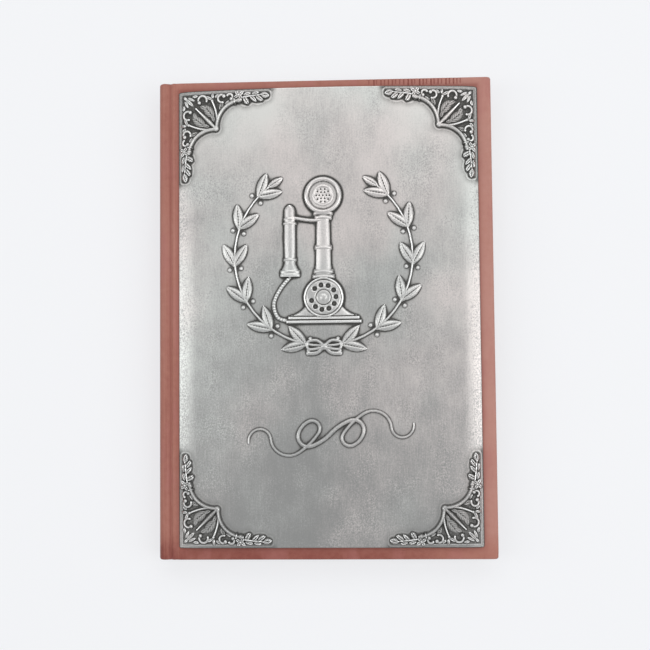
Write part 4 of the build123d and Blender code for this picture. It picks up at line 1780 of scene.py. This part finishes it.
@dataclass
class CastCorners:
    """Four pierced-work castings soldered on the plate, measured from their own square corner."""

    pewter: Material
    plate: PewterPlate
    shape: CornerOutline
    pitch: float = 0.19
    field_level: float = 0.4
    band: float = 1.0
    band_level: float = 0.65
    band_end: float = 25.0
    wall: float = 0.3
    skirt: float = 0.8
    halo_width: float = 0.6
    tarnish: float = 0.12
    rim_stain: float = 0.4
    rib_width: float = 1.75
    rib_rise: float = 1.75
    bar: Triple = (1.5, 2.3, 0.95)
    bar_belly: float = 13.4
    bar_end: float = 7.0
    rosette: Point = (26.6, 1.6)
    petals: tuple[float, ...] = (55, 145, 235, 325)
    vein: tuple[Point, ...] = ((28.6, 2.7), (31.6, 2.3), (34.8, 2.0), (38.0, 1.6))
    fan: tuple[Point, ...] = ((16.3, 15.6), (16.7, 12.4), (16.3, 9.0), (15.4, 6.0), (14.5, 3.9))
    bud: Point = (14.5, 3.8)
    knob: Point = (26.6, 3.9)
    stalk: tuple[Point, ...] = ((24.9, 5.3), (24.5, 3.3))
    curls: tuple[tuple[Point, float, float, float, float], ...] = (
        ((10.0, 3.3), 2.0, 15, -235, 0.1),
        ((18.8, 2.7), 1.9, 75, 245, 0.3),
        ((22.6, 2.3), 1.4, 215, 200, 0.2),
    )
    corner_leaves: tuple[Lobe, ...] = (
        Lobe((4.1, 4.1), 225, (5.2, 1.9), 1.3),
        Lobe((4.9, 2.7), 205, (3.8, 1.5), 1.3),
        Lobe((2.7, 4.9), 245, (3.8, 1.5), 1.3),
        Lobe((2.2, 2.2), 225, (2.2, 1.5), 1.3),
    )
    feathers: tuple[Lobe, ...] = (
        Lobe((13.0, 8.4), 232, (7.8, 4.4), 1.0, 0.4),
        Lobe((15.0, 11.8), 245, (4.4, 1.9), 1.0, 0.4),
        Lobe((10.4, 6.6), 205, (3.8, 2.2), 1.0, 0.4),
        Lobe((18.6, 6.2), 285, (4.6, 2.4), 1.0, 0.4),
    )
    arm_leaves: tuple[Lobe, ...] = (
        Lobe((13.0, 2.5), 205, (3.6, 1.6), 1.75),
        Lobe((14.7, 1.7), 275, (3.2, 1.5), 1.7),
        Lobe((6.7, 1.5), 170, (3.0, 1.5), 1.3),
        Lobe((21.4, 4.6), 330, (2.8, 1.3), 1.3),
        Lobe((16.6, 1.6), 320, (2.6, 1.4), 1.3),
        Lobe((29.9, 4.1), 60, (4.2, 2.6), 1.7),
        Lobe((30.4, 1.3), 345, (4.0, 1.9), 1.7),
        Lobe((33.0, 3.1), 45, (4.6, 2.2), 1.7),
        Lobe((34.2, 1.0), 350, (3.8, 1.6), 1.7),
        Lobe((35.9, 3.2), 35, (4.6, 2.3), 1.7),
        Lobe((38.4, 1.9), 10, (4.2, 2.8), 1.7),
    )

    def draw(self, relief: Relief) -> Grid:
        """Raise the casting and return the distance inside its outline.

        Args:
            relief: The casting's relief.

        Returns:
            The distance at every place.
        """
        inside = self.shape.inside(relief)
        rounding = quarter_round(inside / self.wall)
        relief.raise_to(self.field_level * rounding)
        near, far = np.minimum(relief.x, relief.y), np.maximum(relief.x, relief.y)
        edging = unit((self.band - near) / 0.5) * (far < self.band_end)
        relief.raise_to(self.band_level * rounding * edging)
        for swap in (1, -1):
            self.leaves(relief, swap)
            self.scrolls(relief, swap)
            self.ribs(relief, swap)
        self.diagonal(relief)
        return inside

    def leaves(self, relief: Relief, swap: int) -> None:
        """Raise the leaves of one arm, mirrored about the diagonal where swap is -1.

        Args:
            relief: The casting's relief.
            swap: 1 for the arm across the plate, -1 for the arm along it.
        """
        lobes = [*self.feathers, *self.arm_leaves]
        if swap > 0:
            lobes += self.corner_leaves
        for angle in self.petals:
            turn = math.radians(angle)
            petal = (self.rosette[0] + 1.3 * math.cos(turn), self.rosette[1] + 1.1 * math.sin(turn))
            lobes.append(Lobe(petal, angle, (2.9, 2.0), 1.75))
        for lobe in lobes:
            turned = lobe.angle if swap > 0 else 90 - lobe.angle
            relief.leaf(lobe.centre[::swap], turned, lobe.size, lobe.rise, self.field_level, lobe.ribbing)
        relief.bead(self.rosette[::swap], 0.8, 2.0, self.field_level)
        vein = smooth_path([point[::swap] for point in self.vein], 6)
        relief.cord(vein, 0.9, 1.8, 0.7, self.field_level)

    def scrolls(self, relief: Relief, swap: int) -> None:
        """Fill the openings along the border with scrolls that end in balls.

        Args:
            relief: The casting's relief.
            swap: 1 for the arm across the plate, -1 for the arm along it.
        """
        for centre, radius, start, turn, shrink in self.curls:
            path = arc_path(centre, radius, start, turn, radius * shrink)[:, ::swap]
            relief.cord(path, 1.3, 1.5, 0.9, self.field_level)
            relief.bead(tuple(path[-1]), 1.0, 1.85, self.field_level)

    def ribs(self, relief: Relief, swap: int) -> None:
        """Raise the rib along the hollow edge of an arm, and the fan rib with its bud beside it.

        Args:
            relief: The casting's relief.
            swap: 1 for the arm across the plate, -1 for the arm along it.
        """
        edge = self.shape.hollow_edge()
        way = np.gradient(edge, axis=0)
        way = way / np.hypot(way[:, 0], way[:, 1])[:, None]
        middle = edge + np.stack([-way[:, 1], way[:, 0]], axis=-1) * self.rib_width / 2
        relief.cord(middle[:, ::swap], self.rib_width, self.rib_rise)
        relief.cord(smooth_path([point[::swap] for point in self.fan], 7), 1.55, 1.65, 0.75)
        relief.bead(self.bud[::swap], 0.85, 1.75)
        relief.bead(self.knob[::swap], 1.35, 2.0)
        relief.cord(np.array(self.stalk)[:, ::swap], 0.9, 1.95)

    def diagonal(self, relief: Relief) -> None:
        """Raise the plain bar on the diagonal and the nose where all ribs meet.

        Args:
            relief: The casting's relief.
        """
        meet = self.shape.cusp - self.shape.nose
        root, belly, tip = self.bar
        for start, end, wide, narrow in (
            (meet, self.bar_belly, root, belly),
            (self.bar_belly, self.bar_end, belly, tip),
        ):
            relief.cord(np.array([(start, start), (end, end)]), wide, self.rib_rise, narrow / wide)
        relief.bead((meet, meet), self.shape.nose, self.rib_rise)

    def stains(self, relief: Relief, inside: Grid, hollow: Grid) -> Grid:
        """How dark each place is: the sunk field most, and a soft rim on the plate outside.

        Args:
            relief: The casting.
            inside: Distance inside its outline.
            hollow: How far each place lies in a hollow.

        Returns:
            The darkness, from 0 to about 1.
        """
        edge = np.minimum(relief.x, relief.y)
        rim = unit(edge / self.band)
        sunk = unit((self.field_level + 0.75 - relief.height) / 0.7) * (0.4 + 0.2 * rim)
        outside = halo(np.clip(-inside, 0.0, None) / self.halo_width) * 0.7
        outside = np.maximum(outside, hollow * 0.8)
        worked = np.maximum(hollow * (0.5 + 0.5 * rim), sunk) + self.tarnish
        return np.where(inside > 0.0, worked, np.where(edge > 0.0, outside, self.rim_stain))

    def corner(self, end: str, along: int, side: str, across: int) -> None:
        """Model one casting in its corner of the plate.

        Args:
            end: "tail" or "head".
            along: 1 at the tail, -1 at the head.
            side: "spine" or "fore".
            across: 1 at the spine, -1 at the fore edge.
        """
        plate, shape = self.plate, self.shape
        count = round((shape.arm + 2 * self.skirt) / self.pitch) + 1
        lines = np.linspace(-self.skirt, shape.arm + self.skirt, count)
        sheet = Sheet(lines, lines)
        relief = Relief(sheet.x, sheet.y)
        inside = self.draw(relief)
        hollow, ridge = relief.tones(self.pitch)
        edge_x = plate.left if across > 0 else plate.right
        edge_y = plate.tail if along > 0 else plate.head
        x, y = (edge_x + across * (shape.margin + sheet.x), edge_y + along * (shape.margin + sheet.y))
        if along < 0:
            _, y = plate.outlined(x, y)
        sheet.move(x, y, plate.height(x) + np.maximum(relief.height, 0.015))
        sheet.mark("hollow", self.stains(relief, inside, hollow))
        sheet.mark("ridge", ridge * (inside > 0.0))
        sheet.drop(inside < -1.6 * self.halo_width)
        bm = sheet.close(plate.cover_top + plate.lip * 0.5)
        names = (f"cast_corner_{end}_{side}", f"corner_{end}_{side}")
        add_piece(names[0], bm, [self.pewter], names[1], "front_cover", RELIEF_CREASE)

    def build(self) -> None:
        """Model the four castings, each mirrored into its corner."""
        for end, along in (("tail", 1), ("head", -1)):
            for side, across in (("spine", 1), ("fore", -1)):
                self.corner(end, along, side, across)


# ---- text block -----------------------------------------------------------------------------------
def add_mesh(target: BMesh, source: BMesh, material: int = 0) -> None:
    """Add one mesh to another and free it.

    Args:
        target: The mesh that grows.
        source: The mesh that goes into it.
        material: Index of the material that its faces take.
    """
    for face in source.faces:
        face.material_index = material
    mesh = bpy.data.meshes.new("part")
    source.to_mesh(mesh)
    source.free()
    target.from_mesh(mesh)
    bpy.data.meshes.remove(mesh)


@dataclass
class TextBlock:
    """Thumb-indexed sections of thin leaves with their letters, and the guards that they hinge on."""

    ruled: Material
    plain: Material
    ink: Material
    leaves: int = 8
    leaf_share: float = 0.78
    clearance: float = 0.015
    step_depth: float = 9.0
    corner: float = 1.5
    corner_steps: int = 5
    raggedness: float = 0.22
    seed: int = 12
    letter_size: float = 6.4
    letter_spacing: float = 0.85
    letter_steps: int = 3
    letter_relief: float = 0.012
    guard_inner: float = 0.05
    guard_outer: float = 0.08
    flyleaf_outer: float = 0.012
    guard_ends: float = 0.3
    guard_slack: float = 0.36
    guard_cuts: int = 28

    def __post_init__(self) -> None:
        """List the sections from the top down."""
        names = [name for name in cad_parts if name.startswith("section_")]
        self.sections = sorted(names, key=lambda name: -span(name).high.z)
        self.chance = np.random.default_rng(self.seed)

    def leaf(self, box: Span, steps: int, low: float, thickness: float) -> BMesh:
        """Model one leaf with rounded fore corners, cut back below its index tab.

        Args:
            box: Box of the leaf's section.
            steps: How many tabs lie below its own.
            low: Height of its underside.
            thickness: Its thickness.

        Returns:
            The closed leaf.
        """
        trim = self.chance.uniform(0.0, self.raggedness, 3)
        right, head, tail = box.high.x - trim[0], box.high.y - trim[1], box.low.y + trim[2]
        across, along = [box.low.x, right], [tail, head]
        if steps:
            across.insert(1, right - self.step_depth)
            along.insert(1, box.low.y + steps * box.size.y / len(self.sections))
        sheet = Sheet(np.array(across), np.array(along))
        sheet.move(sheet.x, sheet.y, np.full_like(sheet.x, low + thickness))
        if steps:
            sheet.drop((sheet.x > across[1] - TINY) & (sheet.y < along[1] + TINY))
            loose = [vert for vert in sheet.bm.verts if not vert.link_faces]
            bmesh.ops.delete(sheet.bm, geom=loose, context="VERTS")
        corners = [
            vert for vert in sheet.bm.verts if vert.co.x > right - TINY and len(vert.link_faces) == 1
        ]
        bevel(sheet.bm, corners, self.corner, self.corner_steps, "VERTICES")
        return sheet.close(low)

    def letters(self, text: str, middle: Vector) -> BMesh:
        """Make a tab's printed letters, one above the other.

        Args:
            text: The letters.
            middle: Where they are centred, on the paper's surface.

        Returns:
            Their mesh.
        """
        curve = bpy.data.curves.new("letters", "FONT")
        curve.body = "\n".join(text)
        curve.size = self.letter_size
        curve.space_line = self.letter_spacing
        curve.resolution_u = self.letter_steps
        curve.align_x = curve.align_y = "CENTER"
        curve.extrude = self.letter_relief / 2
        holder = linked("letters", curve)
        seen = holder.evaluated_get(bpy.context.evaluated_depsgraph_get())
        mesh = bpy.data.meshes.new_from_object(seen)
        bm = bmesh.new()
        bm.from_mesh(mesh)
        bmesh.ops.remove_doubles(bm, verts=bm.verts, dist=1e-5)
        bmesh.ops.translate(bm, verts=bm.verts, vec=middle)
        bpy.data.objects.remove(holder)
        bpy.data.curves.remove(curve)
        bpy.data.meshes.remove(mesh)
        return bm

    def section(self, name: str, steps: int) -> None:
        """Model one section, which turns as a whole.

        Args:
            name: The section's node and body.
            steps: How many tabs lie below its own.
        """
        box = span(name)
        pitch = (box.size.z - 2 * self.clearance) / self.leaves
        stack = bmesh.new()
        for number in range(self.leaves):
            low = box.low.z + self.clearance + number * pitch
            add_mesh(stack, self.leaf(box, steps, low, pitch * self.leaf_share))
        tab = box.size.y / len(self.sections)
        top = low + pitch * self.leaf_share
        place = Vector((box.high.x - self.step_depth / 2, box.low.y + (steps + 0.5) * tab, top))
        add_mesh(stack, self.letters(name[-2:].upper(), place), 1)
        add_piece(f"{name}_leaves", stack, [self.ruled, self.ink], name, name)

    def guard(self, name: str, material: Material, slot: Slot, outer: float) -> None:
        """Model the paper that hinges a section or flyleaf on the sewn back.

        Args:
            name: The section's or flyleaf's node and body.
            material: Its finish.
            slot: Its material slot; not used.
            outer: How far it reaches past the fold.
        """
        low, high = span(name).low, span(name).high
        slack = (high.z - low.z) * self.guard_slack
        across = (low.x - self.guard_inner, low.x + outer)
        box = (across, (low.y + self.guard_ends, high.y - self.guard_ends), (low.z + slack, high.z - slack))
        bend = (name, span(name).middle.z)
        paper_hinge(f"{name}_guard", box, self.guard_cuts, (material, slot), bend)

    def build(self) -> None:
        """Model every section, and the guards of sections and flyleaves."""
        for number, name in enumerate(self.sections):
            self.section(name, len(self.sections) - 1 - number)
            self.guard(name, self.ruled, Slot.PAPER, self.guard_outer)
        for name in ("front_flyleaf", "back_flyleaf"):
            self.guard(name, self.plain, Slot.ENDPAPER, self.flyleaf_outer)


@dataclass
class EndBands:
    """Silk wound round a cord at the head and tail of the sewn back."""

    thread: Material
    radius: float = 0.95
    wrap: float = 0.07
    turns: int = 26
    sides: int = 20
    clearance: float = 0.1

    def band(self, node: str) -> None:
        """Model one band over its node.

        Args:
            node: The band's CAD node.
        """
        box = span(node)
        tall = box.size.z - self.clearance
        outer = box.high.y if box.middle.y > 0 else box.low.y
        middle = outer - math.copysign(box.size.x / 2, outer)
        bm = bmesh.new()
        round_cord = {"segments": self.sides, "radius1": self.radius, "radius2": self.radius}
        bmesh.ops.create_cone(bm, cap_ends=True, depth=tall, **round_cord)
        upright = [edge for edge in bm.edges if abs(edge.verts[0].co.z - edge.verts[1].co.z) > 0.5]
        bmesh.ops.subdivide_edges(bm, edges=upright, cuts=self.turns * 4 - 1, use_grid_fill=True)
        for vert in bm.verts:
            lean = math.atan2(vert.co.y, vert.co.x) / (2 * math.pi)
            turn = (vert.co.z / tall + 0.5) * self.turns + lean
            swell = 1.0 + self.wrap * (abs(math.sin(turn * math.pi)) - 1.0)
            vert.co.x *= swell
            vert.co.y *= swell
        bmesh.ops.translate(bm, verts=bm.verts, vec=(box.middle.x, middle, box.middle.z))
        bmesh.ops.recalc_face_normals(bm, faces=bm.faces)
        add_piece(f"{node}_thread", bm, [self.thread], node, "book_block")

    def build(self) -> None:
        """Model both bands."""
        for node in ("head_band", "tail_band"):
            self.band(node)


def dress(finish: Finish | Material, *nodes: str) -> None:
    """Give CAD nodes that are shown as they are a finish or a finished material.

    Args:
        finish: The finish, or a material made earlier.
        nodes: The nodes' names.
    """
    material = finish.material() if isinstance(finish, Finish) else finish
    for node in nodes:
        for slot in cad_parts[node].material_slots:
            slot.material = material
        log.info("%s: dressed", node)


# ---- studio ---------------------------------------------------------------------------------------
@dataclass
class Studio:
    """Camera, pale floor and soft lamps.

    The lamps' places and sizes, the floor's size and the clip distance are in metres.
    """

    camera_place: Triple = (22.8, -32.9, 515.2)
    camera_turn: Triple = (3.33, 2.69, -0.51)
    lens: float = 61.6
    sensor: float = 36.0
    clip: float = 0.01
    floor_size: float = 6.0
    floor_cells: int = 4
    floor_colour: Colour = (0.905, 0.912, 0.930)
    sky: Colour = (0.915, 0.925, 0.945)
    fill: float = 0.5
    lift: float = 0.68
    near: float = 260.0
    away: float = 1000.0
    lamps: tuple[tuple[str, Triple, Point, float], ...] = (
        ("head_lamp", (0.1, 0.75, 1.1), (1.3, 0.6), 4.4),
        ("foot_lamp", (0.2, -1.1, 0.5), (1.2, 0.4), 0.8),
        ("left_lamp", (-0.85, 0.0, 0.9), (0.4, 1.2), 3.3),
        ("right_lamp", (0.74, -0.12, 0.88), (0.6, 1.0), 3.6),
    )

    def camera(self) -> None:
        """Set the camera."""
        data = bpy.data.cameras.new("camera")
        data.lens = self.lens
        data.sensor_width = self.sensor
        data.clip_start = self.clip
        camera = linked("camera", data)
        camera.location = Vector(self.camera_place) * MM
        camera.rotation_euler = Euler([math.radians(turn) for turn in self.camera_turn])
        bpy.context.scene.camera = camera

    @staticmethod
    def shown(graph: Graph) -> Wire:
        """1 where the surroundings are seen, straight or mirrored, and 0 where they only give light.

        Args:
            graph: The floor's or the sky's node tree.

        Returns:
            The share that is seen.
        """
        kinds = ("Is Camera Ray", "Is Glossy Ray", "Is Transmission Ray")
        camera, glossy, through = (graph.node("ShaderNodeLightPath", output=kind) for kind in kinds)
        return camera + glossy + through

    def floor(self) -> None:
        """Lay the floor."""
        bm = bmesh.new()
        cells = self.floor_cells
        bmesh.ops.create_grid(bm, x_segments=cells, y_segments=cells, size=self.floor_size)
        mesh = bpy.data.meshes.new("floor")
        bm.to_mesh(mesh)
        bm.free()
        material = bpy.data.materials.new("floor")
        graph = Graph(material)
        sockets = {"Base Color": self.floor_colour, "Roughness": 0.9, "Specular IOR Level": 0.1}
        lit = graph.principled(sockets)
        shown = graph.node("ShaderNodeEmission", None, {"Color": self.sky, "Strength": 1.0})
        across, along, _ = graph.axes()
        far = (across * across + along * along).eased(self.near**2, self.away**2)
        share = self.shown(graph) * (self.lift + far * (1.0 - self.lift))
        both = graph.node("ShaderNodeMixShader", None, {0: share, 1: lit, 2: shown})
        graph.node("ShaderNodeOutputMaterial", None, {"Surface": both})
        mesh.materials.append(material)
        linked("floor", mesh)

    def world(self) -> None:
        """Set the sky: pale where it is seen, softer where it lights."""
        world = bpy.data.worlds.new("studio")
        bpy.context.scene.world = world
        graph = Graph(world)
        lit = graph.node("ShaderNodeBackground", None, {"Color": self.sky, "Strength": self.fill})
        shown = graph.node("ShaderNodeBackground", None, {"Color": self.sky, "Strength": 1.0})
        both = graph.node("ShaderNodeMixShader", None, {0: self.shown(graph), 1: lit, 2: shown})
        graph.node("ShaderNodeOutputWorld", None, {"Surface": both})

    def lamp(self, name: str, place: Triple, size: Point, power: float) -> None:
        """Hang a soft rectangular lamp that looks at the book.

        Args:
            name: Its name.
            place: Where it hangs, in metres.
            size: Its width and height in metres.
            power: Its power in watts.
        """
        data = bpy.data.lights.new(name, "AREA")
        data.shape = "RECTANGLE"
        data.size, data.size_y = size
        data.energy = power
        lamp = linked(name, data)
        lamp.location = place
        lamp.rotation_euler = (-Vector(place)).to_track_quat("-Z", "Y").to_euler()

    def build(self) -> None:
        """Set up everything round the book."""
        self.camera()
        self.floor()
        self.world()
        for lamp in self.lamps:
            self.lamp(*lamp)
        bpy.context.scene.view_settings.view_transform = "Standard"


# ---- assembly -------------------------------------------------------------------------------------
def main() -> None:
    """Build every class in order."""
    logging.basicConfig(level=logging.INFO, format="%(name)s %(message)s")
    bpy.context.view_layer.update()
    Studio().build()
    cover = span("front_cloth").high
    leather = LeatherCloth(cover.x, cover.y).material()
    endpaper = Endpaper(cover.x, cover.y).material()
    Case(leather, endpaper).build()
    pewter = Pewter().material()
    corners = CornerOutline()
    plate = PewterPlate(pewter, corners)
    plate.build()
    CastCorners(pewter, plate, corners).build()
    paper = Paper("leaf_paper", ruled=True).material()
    ink = Plain("index_ink", (0.030, 0.028, 0.032), (0.05, 0.045, 0.05)).material()
    TextBlock(paper, endpaper, ink).build()
    EndBands(BandThread().material()).build()
    dress(endpaper, "front_pastedown", "back_pastedown", "front_flyleaf", "back_flyleaf")
    card = Plain("grey_card", (0.30, 0.285, 0.25), (0.19, 0.175, 0.15), (1.5, 1.5, 4.0))
    dress(card, "front_board", "back_board", "spine_card")
    mull = Plain("mull_lining", (0.72, 0.68, 0.58), (0.42, 0.37, 0.28), (1.2, 1.2, 1.2))
    dress(mull, "spine_lining")
    dress(Paper("sewn_folds"), "sewn_back")


if __name__ == "__main__":
    main()
